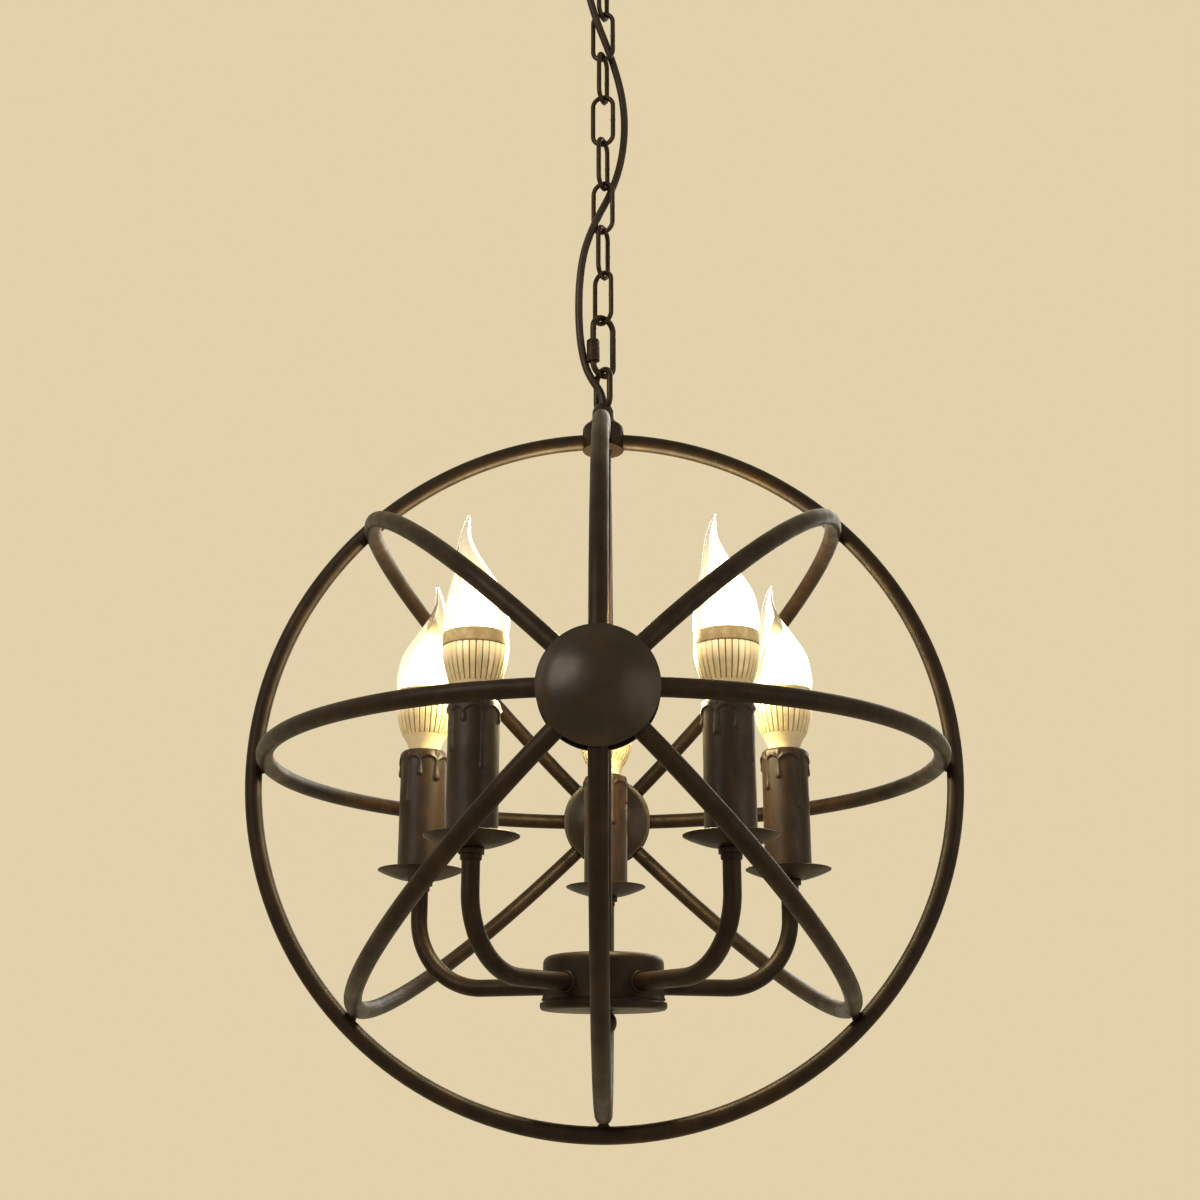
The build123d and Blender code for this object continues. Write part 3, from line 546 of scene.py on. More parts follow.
def lit_glass(name, glow):
    """Blown borosilicate glass over a lit lamp: it glows low down and is clear at its bent tip."""
    material = bpy.data.materials.new(name)
    material.use_nodes = True
    tree = material.node_tree
    shader = tree.nodes["Principled BSDF"]
    light, _ = fading_light(tree, glow, GLASS_DARK, GLASS_FULL, GLASS_LEAST)
    tree.links.new(light, shader.inputs["Emission Color"])
    shader.inputs["Emission Strength"].default_value = GLASS_STRENGTH
    shader.inputs["Base Color"].default_value = (1, 1, 1, 1)
    shader.inputs["Transmission Weight"].default_value = 1.0
    shader.inputs["Roughness"].default_value = 0.02
    shader.inputs["IOR"].default_value = 1.47
    return material


def lit_glare(name, glow):
    """The glare of the light module inside the glass: white low down, fading out towards the tip."""
    material = bpy.data.materials.new(name)
    material.use_nodes = True
    tree = material.node_tree
    shader = tree.nodes["Principled BSDF"]
    light, share = fading_light(tree, glow, GLARE_DARK, GLARE_FULL)
    tree.links.new(light, shader.inputs["Emission Color"])
    tree.links.new(share, shader.inputs["Alpha"])
    shader.inputs["Emission Strength"].default_value = GLARE_STRENGTH
    shader.inputs["Base Color"].default_value = rgba(glow)
    return material


finishes = {}


class CHANDELIER_OT_finishes(bpy.types.Operator):
    """Make the materials"""

    bl_idname = "chandelier.finishes"
    bl_label = "Finishes"

    def execute(self, context):
        c = context.scene.chandelier_colours
        # Powder coat over mild steel, rubbed by hand: satin, dark, with warmer brown where it is thin.
        finishes["bronze"] = finish("rubbed_bronze_powder_coat", c.bronze, c.bronze_rub, 0.46, metallic=0.12,
                                    patch=14, grain=0.9, grain_depth=0.03, specular=0.16)
        # The same coat on the spun pole plates, buffed smoother, so that they carry soft highlights.
        finishes["plate"] = finish("buffed_bronze_powder_coat", c.bronze, c.bronze_rub, 0.33, metallic=0.35,
                                   patch=18, grain=1.2, grain_depth=0.02, specular=0.45)
        # Blackened grub screws: matt dark dots on the lit tubes.
        finishes["screw"] = finish("blackened_steel", c.screw, c.bronze, 0.6, patch=2, grain=0.5,
                                   grain_depth=0.05, specular=0.2)
        # Plated steel wire: metal shows through, and links rub each other bright.
        finishes["wire"] = finish("bronze_plated_wire", c.wire, c.wire_rub, 0.34, metallic=0.5, patch=5,
                                  grain=0.6, grain_depth=0.03, share=0.7, specular=0.3)
        # Extruded PVC sheath: even, slightly greasy gloss.
        finishes["sheath"] = finish("pvc_cable_sheath", c.sheath, c.wax_rub, 0.44, patch=20, grain=1.2,
                                    grain_depth=0.02, share=0.25, specular=0.3)
        # Painted card sleeve with run wax: uneven satin, brushed lighter on the raised runs.
        finishes["wax"] = finish("painted_candle_wax", c.wax, c.wax_rub, 0.42, patch=6, grain=1.6,
                                 grain_depth=0.10, share=0.6, stretch=(1, 1, 0.45), specular=0.28)
        # Zinc plate: pale metal with a cloudy spangle.
        finishes["zinc"] = finish("zinc_plated_steel", c.zinc, c.aluminium, 0.34, metallic=1.0, patch=4,
                                  grain=0.8, grain_depth=0.02, share=0.5)
        # Die-cast aluminium, tumbled and fine-grained. Its brightness and warmth are painted light: a glow
        # that fades down from the glass, over patches tinted the glow colour, stands in for the bulb's light.
        finishes["aluminium"] = finish("die_cast_aluminium_painted_glow", c.aluminium, c.glow, 0.34, metallic=0.4, patch=5,
                                       grain=0.4, grain_depth=0.02, share=0.4, glow=c.glow,
                                       glow_strength=SINK_GLOW_STRENGTH,
                                       glow_heights=(SINK_GLOW_DARK, SINK_GLOW_FULL, SINK_GLOW_LEAST))
        # The same casting between the ribs, where no light reaches: thin darker lines.
        finishes["groove"] = finish("shaded_aluminium", c.groove, c.band, 0.5, metallic=0.2, patch=5,
                                    grain=0.4, grain_depth=0.02, share=0.4)
        # Glass-filled plastic, moulded: pale. A faint painted glow, over patches tinted the glow colour,
        # stands in for the bulb's light on it.
        finishes["neck"] = finish("moulded_pale_plastic", c.neck, c.glow, 0.42, patch=8, grain=0.6,
                                  grain_depth=0.015, share=0.3, glow=c.glow, glow_strength=0.04)
        # Frosted glass where the flame is fused to its seat: dull, ambered by the lamp behind it.
        finishes["band"] = finish("frosted_glass_seat", c.band, c.glow, 0.45, patch=6, grain=0.5,
                                  grain_depth=0.02, share=0.5, glow=c.glow, glow_strength=0.10)
        # Moulded thermoset of the lampholders: off-white and half matt, deep inside the sleeves.
        finishes["holder"] = finish("moulded_lampholder", c.holder, c.neck, 0.5, patch=8, grain=0.6,
                                    grain_depth=0.02, share=0.4)
        # The light module seen through the glass: a white blaze with no surface of its own.
        finishes["glare"] = lit_glare("light_module_glare", c.glow)
        # Blown borosilicate glass: clear and thin, with bright edges where it bends.
        finishes["glass"] = lit_glass("lit_blown_glass", c.glow)
        return {"FINISHED"}


# ---- pieces ----
def dress_node(node, material):
    """A CAD node whose shape is right keeps it and gets its finish."""
    painted(frame["nodes"][node], finishes[material])


class CHANDELIER_OT_ceiling_parts(bpy.types.Operator):
    """Add the canopy, its ring nut and its eye, and finish the crossbar behind them"""

    bl_idname = "chandelier.ceiling_parts"
    bl_label = "Ceiling parts"

    def execute(self, context):
        for node in ("ceiling_crossbar", "canopy_nipple", "crossbar_nut"):
            dress_node(node, "zinc")
        wall_outside = curved([(50, -5), (44, -14.5), (30, -22.5), (14, CANOPY_BOTTOM), (5.3, CANOPY_BOTTOM)])
        wall_inside = curved([(5.3, -24.8), (13.8, -24.8), (29.4, -21.4), (43.1, -13.6), (48.8, -4.6)])
        canopy = lathe("canopy_shell", [(50, 0), *wall_outside, *wall_inside, (48.8, 0), (50, 0)], steps=96)
        painted(canopy, finishes["bronze"])
        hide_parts("canopy")
        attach(canopy, "canopy")

        ring_nut = prism("canopy_ring_nut", KNURLS, RING_NUT_R, RING_NUT_BOTTOM, CANOPY_BOTTOM,
                         Matrix.Identity(4), 0.5)
        for vertex in ring_nut.data.vertices:
            turn = degrees(atan2(vertex.co.y, vertex.co.x))
            on_rim = hypot(vertex.co.x, vertex.co.y) > (RING_NUT_R - 0.8) * MM
            if on_rim and round(turn / (360 / KNURLS)) % 2:
                vertex.co.xy *= KNURL_ROOT
        painted(ring_nut, finishes["bronze"])
        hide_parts("canopy_nut")
        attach(ring_nut, "canopy")

        taper = curved([(6.8, -36.2), (5.6, -38.6), (4.4, CANOPY_COLLAR_BOTTOM)])
        collar = lathe("collar", [(0, RING_NUT_BOTTOM), (6.7, RING_NUT_BOTTOM), (7, RING_NUT_BOTTOM - 0.4),
                                  (7, -35.5), *taper, (0, CANOPY_COLLAR_BOTTOM)], steps=48)
        ring = oval((0, 0, CANOPY_EYE_HEIGHT), CANOPY_EYE_YAW, CANOPY_EYE_LINE_HEIGHT, CANOPY_EYE_BEND_R)
        eye = bar("eye", ring, EYE_WIRE_R * MM, closed=True)
        loop = painted(joined("canopy_eye", [collar, eye]), finishes["wire"])
        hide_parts("canopy_loop")
        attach(loop, "canopy")
        return {"FINISHED"}


def chain_link(name, height, yaw):
    """One wire link with the raised seam of its butt weld on one leg."""
    ring = bar("ring", oval((0, 0, height), yaw, LINK_LINE_HEIGHT, LINK_BEND_R), LINK_WIRE_R * MM,
               closed=True, sides=16)
    leg = (heading(yaw) * LINK_BEND_R + UP * height) * MM
    seam = lathe("seam", curved([(1.5, -1.4), (1.72, -0.7), (1.66, 0), (1.74, 0.6), (1.5, 1.3)], 3),
                 Matrix.Translation(leg), steps=16)
    return joined(name, [ring, seam])


class CHANDELIER_OT_chain(bpy.types.Operator):
    """Add the chain, the quick link and its sleeve nut"""

    bl_idname = "chandelier.chain"
    bl_label = "Chain"

    def execute(self, context):
        top = painted(chain_link("top_chain_link", LINK_1_HEIGHT, LINK_YAWS[0]), finishes["wire"])
        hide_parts("chain_link_01")
        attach(top, "top_link")

        rest = [chain_link(f"link_{i}", LINK_2_HEIGHT - i * LINK_PITCH, yaw)
                for i, yaw in enumerate(LINK_YAWS[1:])]
        chain = painted(joined("chain", rest), finishes["wire"])
        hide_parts("chain_links")
        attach(chain, "fixture")

        across = heading(QUICK_YAW)
        centre = Vector((0, 0, QUICK_HEIGHT + ORB_HEIGHT))
        ring = oval(centre, QUICK_YAW, QUICK_LINE_HEIGHT, QUICK_BEND_R)
        half = len(ring) // 2
        gap_top, gap_bottom = [(centre - across * QUICK_BEND_R + UP * height) * MM
                               for height in (QUICK_GAP_TOP, QUICK_GAP_BOTTOM)]
        body = bar("quick_link_body", [gap_top, *reversed(ring[:half]), *reversed(ring[half:]), gap_bottom],
                   EYE_WIRE_R * MM)
        painted(body, finishes["wire"])
        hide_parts("quick_link")
        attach(body, "fixture")

        middle = (QUICK_GAP_TOP + QUICK_GAP_BOTTOM) / 2 + QUICK_NUT_RISE
        nut_place = Matrix.Translation((centre - across * QUICK_BEND_R) * MM) @ Matrix.Rotation(
            radians(QUICK_YAW), 4, "Z")
        nut = prism("quick_link_sleeve", 6, QUICK_NUT_R, middle - QUICK_NUT_LENGTH / 2,
                    middle + QUICK_NUT_LENGTH / 2, nut_place, 0.5)
        painted(nut, finishes["wire"])
        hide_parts("quick_link_nut")
        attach(nut, "quick_nut")
        return {"FINISHED"}


class CHANDELIER_OT_cable(bpy.types.Operator):
    """Add the supply cable that weaves through the chain"""

    bl_idname = "chandelier.cable"
    bl_label = "Supply cable"

    def execute(self, context):
        deselect()
        bpy.ops.curve.primitive_nurbs_path_add()
        cable = named("supply_cable_sheath")
        line = cable.data
        line.splines.clear()
        run = line.splines.new("NURBS")
        run.points.add(len(CABLE_ROUTE) - 1)
        for spot, point in zip(run.points, CABLE_ROUTE):
            spot.co = (*orb_point(*point), 1)
        run.order_u = 3
        run.use_endpoint_u = True
        line.dimensions = "3D"
        line.resolution_u = 12
        # The line without its thickness gives the height at which the cable is parted.
        bare = bpy.data.meshes.new_from_object(cable)
        path = [v.co.copy() for v in bare.vertices]
        line.bevel_depth = context.scene.chandelier_sizes.cable_diameter / 2
        line.bevel_resolution = 6
        line.use_fill_caps = True
        bpy.ops.object.convert(target="MESH")
        clean_mesh()
        cable = painted(bpy.context.object, finishes["sheath"])

        parting = next(i for i, point in enumerate(path) if point.z < CABLE_PARTING_M)
        cable_top = copy_of(cable, "supply_cable_top_sheath")
        cut_level(cable_top, path[parting].z, keep_above=True)
        cut_level(cable, path[parting].z, keep_above=False)
        for piece, nodes, points, length_m, bodies, (turn_start, turn_end) in (
                (cable_top, ("supply_cable_top",), path[:parting + 1], CABLE_TOP_LENGTH_M,
                 ("canopy", "top_link"), CABLE_TOP_TURN_M),
                (cable, ("supply_cable", "supply_cable_top"), path[parting:], CABLE_LENGTH_M,
                 ("top_link", "fixture"), CABLE_TURN_M)):
            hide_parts(*nodes)
            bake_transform(piece)
        return {"FINISHED"}


class CHANDELIER_OT_hub(bpy.types.Operator):
    """Add the eye, bell cup and disc on top of the orb"""

    bl_idname = "chandelier.hub"
    bl_label = "Hub"

    def execute(self, context):
        dress_node("hub_core", "zinc")
        taper = curved([(6.8, 231.2), (5.8, 233.6), (4.6, HUB_COLLAR_TOP)])
        collar = lathe("collar", [
            (0, HUB_COLLAR_BOTTOM), (6.7, HUB_COLLAR_BOTTOM), (7, HUB_COLLAR_BOTTOM + 0.4), (7, 230.5),
            *taper, (0, HUB_COLLAR_TOP)], orb_place(), steps=48)
        ring = oval((0, 0, HUB_EYE_HEIGHT + ORB_HEIGHT), HUB_EYE_YAW, HUB_EYE_LINE_HEIGHT, HUB_EYE_BEND_R)
        eye = bar("eye", ring, EYE_WIRE_R * MM, closed=True)
        loop = painted(joined("hub_eye", [collar, eye]), finishes["wire"])
        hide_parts("hub_loop")
        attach(loop, "fixture")

        shoulder = curved([(13, 217.2), (12.7, 219.0), (11.4, 220.8), (9.2, 222.4),
                           (8.1, HUB_COLLAR_BOTTOM)], 4)
        cup = lathe("bell_cup", [(13, CUP_BOTTOM), *shoulder, (8.0, 222.2), (10.2, 220), (11.5, 217.5),
                                 (11.5, CUP_BOTTOM), (13, CUP_BOTTOM)], orb_place(), steps=72)
        slot_centre = (SLOT_TOP + CUP_BOTTOM - 1) / 2
        for along_x, along_y in ((SLOT_LENGTH, SLOT_WIDTH), (SLOT_WIDTH, SLOT_LENGTH)):
            deselect()
            bpy.ops.mesh.primitive_cube_add(size=1, location=orb_point(0, 0, slot_centre))
            cutter = named("slot_cutter")
            cutter.scale = Vector((along_x, along_y, 2 * (SLOT_TOP - slot_centre))) * MM
            finished_with(cup, "BOOLEAN", object=cutter, operation="DIFFERENCE", solver="EXACT")
            remove(cutter)
        smooth(painted(cup, finishes["bronze"]))
        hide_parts("hub_cup")
        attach(cup, "fixture")

        disc = lathe("hub_disc", [(0, DISC_BOTTOM), (12.7, DISC_BOTTOM), (13, 204.0), (13, 204.7),
                                  (12.8, CUP_BOTTOM), (0, CUP_BOTTOM)], orb_place(), steps=64)
        painted(disc, finishes["bronze"])
        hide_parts("hub_washer")
        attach(disc, "fixture")
        return {"FINISHED"}


def lean_direction(lean):
    """The direction square to the poles in which a half-hoop bulges, leaning right from upright."""
    return Vector((sin(radians(lean)), 0, cos(radians(lean))))


class CHANDELIER_OT_hoops(bpy.types.Operator):
    """Add the five hoops of the orb and the welds where they touch"""

    bl_idname = "chandelier.hoops"
    bl_label = "Hoops"

    def execute(self, context):
        sizes = context.scene.chandelier_sizes
        outer, inner, tube = sizes.outer_hoop_radius, sizes.inner_hoop_radius, sizes.tube_radius
        pole_cut = degrees(asin(POLE_GAP * MM / inner))
        made = {}
        for name, leans in HOOP_LEANS.items():
            halves = []
            for lean in leans:
                half = arc(FRONT * inner, lean_direction(lean) * inner, pole_cut, 180 - pole_cut)
                halves.append(bar("half", half, tube))
            made[name] = joined(f"{name}_tube", halves)
        # The upright hoop's upper quarters rise a little, to end at the frontal hoop's own height.
        hub_cut = degrees(asin(HUB_GAP * MM / inner))
        upright = [bar("lower_half", arc(FRONT * inner, -UP * inner, pole_cut, 180 - pole_cut), tube)]
        upright += [bar("upper_quarter", arc(pole * inner, UP * outer, pole_cut, 90 - hub_cut), tube)
                    for pole in POLES]
        made["hoop_upright"] = joined("hoop_upright_tube", upright)
        outer_cut = degrees(asin(HUB_GAP * MM / outer))
        round_the_orb = arc(UP * outer, RIGHT * outer, outer_cut, 360 - outer_cut)
        made["outer_hoop"] = bar("outer_hoop_tube", round_the_orb, tube)
        for node, hoop in made.items():
            painted(hoop, finishes["bronze"])
            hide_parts(node)
            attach(hoop, "fixture")

        # Each weld is a low bead round the spot where the frontal hoop crosses another.
        bead_outline = [(WELD_R + 0.9 * cos(radians(a)), WELD_HEIGHT + 0.95 * sin(radians(a)))
                        for a in range(0, 361, 45)]
        beads = [lathe("bead", bead_outline, orb_place(lean_direction(lean)), steps=40)
                 for lean in range(45, 360, 45)]
        welds = painted(joined("hoop_weld_beads", beads), finishes["bronze"])
        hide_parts("hoop_welds")
        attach(welds, "fixture")
        return {"FINISHED"}


class CHANDELIER_OT_poles(bpy.types.Operator):
    """Add the domed plates in front and behind, with their nuts and set screws"""

    bl_idname = "chandelier.poles"
    bl_label = "Poles"

    def execute(self, context):
        sizes = context.scene.chandelier_sizes
        dress_node("pole_cores", "zinc")
        dome_outside = curved([(30.6, 203.3), (27.5, 205.2), (22, 208.5), (12.8, 212.3), (5, 213.9),
                               (0, 214.2)])
        dome_inside = curved([(0, 212.7), (5, 212.3), (12, 210.9), (20.6, 207.2), (28.9, 202.7)])
        dome_outline = [*dome_outside, *dome_inside, (30.3, 202.7), (30.6, 203.3)]
        domes = [lathe("dome", dome_outline, orb_place(pole), steps=96) for pole in POLES]
        cap_face = curved([(27.2, 190.4), (24.6, 189.0), (18.5, 185.7), (12, 183.6), (6, 182.9), (0, 182.8)])
        cap_outline = [(0, 191.9), (30.3, 191.9), (30.6, 191.5), (30.6, 190.8), (30.2, 190.4), *cap_face]
        caps = [lathe("cap", cap_outline, orb_place(pole), steps=96) for pole in POLES]
        nut_dome = curved([(3.8, 179.6), (3.5, 178.4), (2.4, 177.6), (0, 177.2)], 4)
        fasteners = []
        for pole in POLES:
            hexagon = prism("hexagon", 6, 4.5, 179.6, 183.2, orb_place(pole), 0.4)
            fasteners += [hexagon, lathe("cap_nut", [*nut_dome, (0, 180)], orb_place(pole), steps=32)]

        # A set screw's outline starts in the middle of its socket and ends inside the tube.
        screw_outline = [(0, -0.9), (0.9, -0.9), (0.95, 0.12), (1.1, 0.25), (1.7, 0.22), (1.9, 0),
                         (1.9, -0.4)]
        screw = lathe("screw", screw_outline, steps=18)
        off_pole = asin(SCREW_REACH * MM / sizes.inner_hoop_radius)
        screws = []
        for pole in POLES:
            for lean in range(0, 360, 45):
                outward = pole * cos(off_pole) + lean_direction(lean) * sin(off_pole)
                seat = orb_point(0, 0, 0) + outward * (sizes.inner_hoop_radius - sizes.tube_radius)
                screws.append(copy_of(screw, "set_screw", axis_place(seat, -outward)))
        remove(screw)
        screws = painted(joined("pole_set_screws", screws), finishes["screw"])
        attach(screws, "fixture")

        for name, parts, node, material in (
                ("pole_dome_plates", domes, "pole_domes", "plate"),
                ("pole_cap_plates", caps, "pole_caps", "plate"),
                ("pole_cap_nuts", fasteners, "pole_fasteners", "wire")):
            piece = painted(joined(name, parts), finishes[material])
            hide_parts(node)
            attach(piece, "fixture")
        return {"FINISHED"}


class CHANDELIER_OT_cluster_body(bpy.types.Operator):
    """Add the stem, the drum that the arms leave, its cover and the ball finial"""

    bl_idname = "chandelier.cluster_body"
    bl_label = "Cluster body"

    def execute(self, context):
        dress_node("arm_block", "zinc")
        tube_r = context.scene.chandelier_sizes.tube_radius / MM
        stem = lathe("stem", [(BORE_R, DRUM_TOP), (tube_r, DRUM_TOP), (tube_r, DISC_BOTTOM),
                              (BORE_R, DISC_BOTTOM), (BORE_R, DRUM_TOP)], orb_place(), steps=40)
        shoulder = curved([(29, -110.6), (32.6, -111.6), (34.6, -113.8), (35, -116.6)], 5)
        lip = curved([(35, -133), (35.2, -134.6), (35.8, DRUM_BOTTOM)], 3)
        inside = curved([(33.5, -117.2), (32.8, -114.6), (28.3, -112.1)], 4)
        drum = lathe("drum", [(BORE_R, DRUM_TOP), *shoulder, *lip, (34.3, DRUM_BOTTOM), (33.5, -133), *inside,
                              (BORE_R, -111), (BORE_R, DRUM_TOP)], orb_place(), steps=96)
        ferrule_outline = [(5.0, 34.2), (6.5, 34.4), (6.45, 35.5), (6.0, 36.3), (5.35, 36.6), (5.0, 36.4)]
        ferrules = []
        for azimuth in LAMP_AZIMUTHS:
            place = axis_place(orb_point(0, 0, ARM_HEIGHT), heading(azimuth))
            ferrules.append(lathe("ferrule", ferrule_outline, place, steps=36))
        drum = joined("cluster_drum", [drum, *ferrules])
        cover_edge = curved([(35.4, -141.6), (36.5, -140.6), (36.7, -139.4)], 3)
        cover = lathe("drum_cover", [
            (3.2, COVER_BOTTOM), (33.2, COVER_BOTTOM), *cover_edge, (36.7, -137.8), (36.4, -137.5),
            (34.9, -137.5), (34.9, DRUM_BOTTOM), (33.2, DRUM_BOTTOM), (33.2, -134), (3.2, -134),
            (3.2, COVER_BOTTOM)], orb_place(), steps=96)
        ball = [(BALL_R * cos(radians(a)), BALL_HEIGHT + BALL_R * sin(radians(a)))
                for a in range(-90, 51, 10)]
        finial = lathe("ball_finial", [*ball, (4.9, COVER_BOTTOM), (3.0, COVER_BOTTOM), (3.0, -130),
                                       (0, -130)], orb_place(), steps=48)
        for piece, node in ((stem, "stem_tube"), (drum, "body_cup"), (cover, "body_cover"),
                            (finial, "finial")):
            painted(piece, finishes["bronze"])
            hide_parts(node)
            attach(piece, "fixture")
        return {"FINISHED"}


class CHANDELIER_OT_arms(bpy.types.Operator):
    """Add the five arms with their collar nuts and drip pans"""

    bl_idname = "chandelier.arms"
    bl_label = "Arms and drip pans"

    def execute(self, context):
        sizes = context.scene.chandelier_sizes
        bend = sizes.arm_bend_radius
        inner_end = Vector((ARM_INNER_R * MM - sizes.lamp_circle_radius, 0, ARM_HEIGHT * MM))
        bend_centre = Vector((-bend, 0, ARM_HEIGHT * MM + bend))
        turns = [radians(-90 + 90 * i / 24) for i in range(25)]
        route = [inner_end, *[bend_centre + Vector((cos(t), 0, sin(t))) * bend for t in turns],
                 Vector((0, 0, ARM_TOP * MM))]
        arm = bar("arm", route, sizes.tube_radius)
        nut = prism("nut", 6, 6.6, -66, PAN_SEAT, Matrix.Identity(4), 0.5)
        thread_outline = [(5.0, -69.4), (5.7, -68.9), (5.9, -68.2), (5.9, -66.2), (5.0, -65.8)]
        nut = joined("nut", [nut, lathe("thread", thread_outline, steps=36)])
        rim = sizes.pan_radius / MM
        underside = curved([(7.5, PAN_SEAT), (12, -61.9), (17, -60.4), (22.5, -58.3), (rim, -56.6)], 4)
        upper_side = curved([(rim - 0.6, -55.6), (22.2, -57.3), (16.6, -59.3), (11.8, -60.9),
                             (7.5, PAN_SEAT + 1)], 4)
        pan = lathe("pan", [(5.5, PAN_SEAT), *underside, (rim + 0.1, -56.0), *upper_side, (5.5, PAN_SEAT + 1),
                            (5.5, PAN_SEAT)], steps=96)
        nuts = []
        for number, azimuth in enumerate(LAMP_AZIMUTHS, 1):
            for pattern, name, node in ((arm, "arm_tube", "arm"), (pan, "drip_pan_saucer", "drip_pan")):
                piece = copy_of(pattern, f"{name}_{number}", lamp_place(azimuth))
                painted(piece, finishes["bronze"])
                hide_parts(f"{node}_{number}")
                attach(piece, "fixture")
            nuts.append(copy_of(nut, f"collar_{number}", lamp_place(azimuth)))
        remove(arm, pan, nut)
        collars = painted(joined("arm_collar_nuts", nuts), finishes["bronze"])
        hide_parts("arm_nuts")
        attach(collars, "fixture")
        return {"FINISHED"}


def wax_depth(direction, height, runs, sleeve_r):
    """How far the wax stands proud of the sleeve, in millimetres: a film under the lip, with a thick rim that
    arches from one run to the next, and the runs below it."""
    behind = max(runs, key=lambda run: -((direction - run[0]) % 360))
    ahead = max(runs, key=lambda run: -((run[0] - direction) % 360))
    width = (ahead[0] - behind[0]) % 360 or 360
    along_arch = ((direction - behind[0]) % 360) / width
    edge = ARCH_TOP - ARCH_DROP * (1 - sqrt(sin(pi * along_arch)))
    depth = 0
    if height > edge:
        rim = exp(-((height - edge - WAX_RIM_RISE) / WAX_RIM_WIDTH) ** 2)
        rise = min(1, (height - edge) / WAX_EDGE_WIDTH)
        depth = (WAX_FILM + WAX_RIM * rim) * sqrt(1 - (1 - rise) ** 2)
    for run_direction, run_length, half_width in runs:
        low = WAX_TOP - run_length
        drop = exp(-((height - low) / (DROP_LENGTH * half_width)) ** 2)
        width = half_width * (RUN_WIDTH + (1 - RUN_WIDTH) * drop)
        turn = (direction - run_direction + 180) % 360 - 180
        across = radians(turn) * sleeve_r / width
        below = max(0, low - height) / half_width
        inside = 1 - across * across - below * below
        if inside > 0:
            depth = max(depth, half_width * (RUN_DEPTH + DROP_DEPTH * drop) * sqrt(inside))
    return depth


class CHANDELIER_OT_sleeves(bpy.types.Operator):
    """Add the five candle sleeves with wax run down from their lips"""

    bl_idname = "chandelier.sleeves"
    bl_label = "Candle sleeves"

    def execute(self, context):
        dress_node("lampholders", "holder")
        sleeve_r = context.scene.chandelier_sizes.sleeve_radius / MM
        side = [(sleeve_r, WAX_BOTTOM + (SLEEVE_SIDE_TOP - WAX_BOTTOM) * i / SLEEVE_ROWS)
                for i in range(SLEEVE_ROWS + 1)]
        shoulder = curved([(sleeve_r, SLEEVE_SIDE_TOP), (14.0, 15.2), (13.1, 16.8),
                           (SLEEVE_BORE_R, SLEEVE_TOP)], 5)[1:]
        pattern = lathe("sleeve", [
            (SLEEVE_BORE_R, SLEEVE_BOTTOM), (sleeve_r - 0.3, SLEEVE_BOTTOM), (sleeve_r, SLEEVE_BOTTOM + 0.3),
            *side, *shoulder, (SLEEVE_MOUTH_R, SLEEVE_TOP), (SLEEVE_MOUTH_R, SLEEVE_TOP - 2.4),
            (SLEEVE_BORE_R, SLEEVE_TOP - 3.6), (SLEEVE_BORE_R, SLEEVE_BOTTOM)], steps=SLEEVE_STEPS)
        for number, (azimuth, long_runs) in enumerate(zip(LAMP_AZIMUTHS, WAX_RUNS), 1):
            draw = random.Random(number)
            first, last = long_runs[0][0], long_runs[-1][0]
            # One short run lies half-way between the long ones in front, and the others share the rest.
            rear_share = (first + 360 - last) / (REAR_SHORT_RUNS + 1)
            places = [(first + last) / 2, *[last + rear_share * i for i in range(1, REAR_SHORT_RUNS + 1)]]
            short_runs = [(place + draw.uniform(-SHORT_RUN_STRAY, SHORT_RUN_STRAY),
                           draw.uniform(*SHORT_RUN_LENGTHS), draw.uniform(*SHORT_RUN_WIDTHS))
                          for place in places]
            sleeve = copy_of(pattern, f"candle_sleeve_{number}")
            for vertex in sleeve.data.vertices:
                radius = hypot(vertex.co.x, vertex.co.y) / MM
                height = vertex.co.z / MM
                if radius > SLEEVE_BORE_R + 0.8 and height > WAX_BOTTOM:
                    direction = degrees(atan2(vertex.co.y, vertex.co.x))
                    depth = wax_depth(direction, height, [*long_runs, *short_runs], sleeve_r)
                    vertex.co.xy *= (radius + depth) / radius
            sleeve.data.transform(Matrix.Translation(lamp_place(azimuth).to_translation()))
            smooth(painted(sleeve, finishes["wax"]), 60)
            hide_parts(f"sleeve_{number}")
            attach(sleeve, "fixture")
        remove(pattern)
        return {"FINISHED"}


def flame_shift(height):
    """How far a flame leans at a height, in millimetres: it swells to one side, and its tip curls back."""
    lean = min(1, max(0, (height - LEAN_START) / LEAN_LENGTH))
    curl = max(0, (height - CURL_START) / CURL_LENGTH)
    return LEAN * lean * lean * (3 - 2 * lean) - CURL * curl ** 1.5


def sink_radius(height):
    """The heat sink's outside radius at a height."""
    share = (height - SINK_BOTTOM) / (SINK_TOP - SINK_BOTTOM)
    return SINK_R_LOW + (SINK_R_HIGH - SINK_R_LOW) * sin(pi / 2 * share)


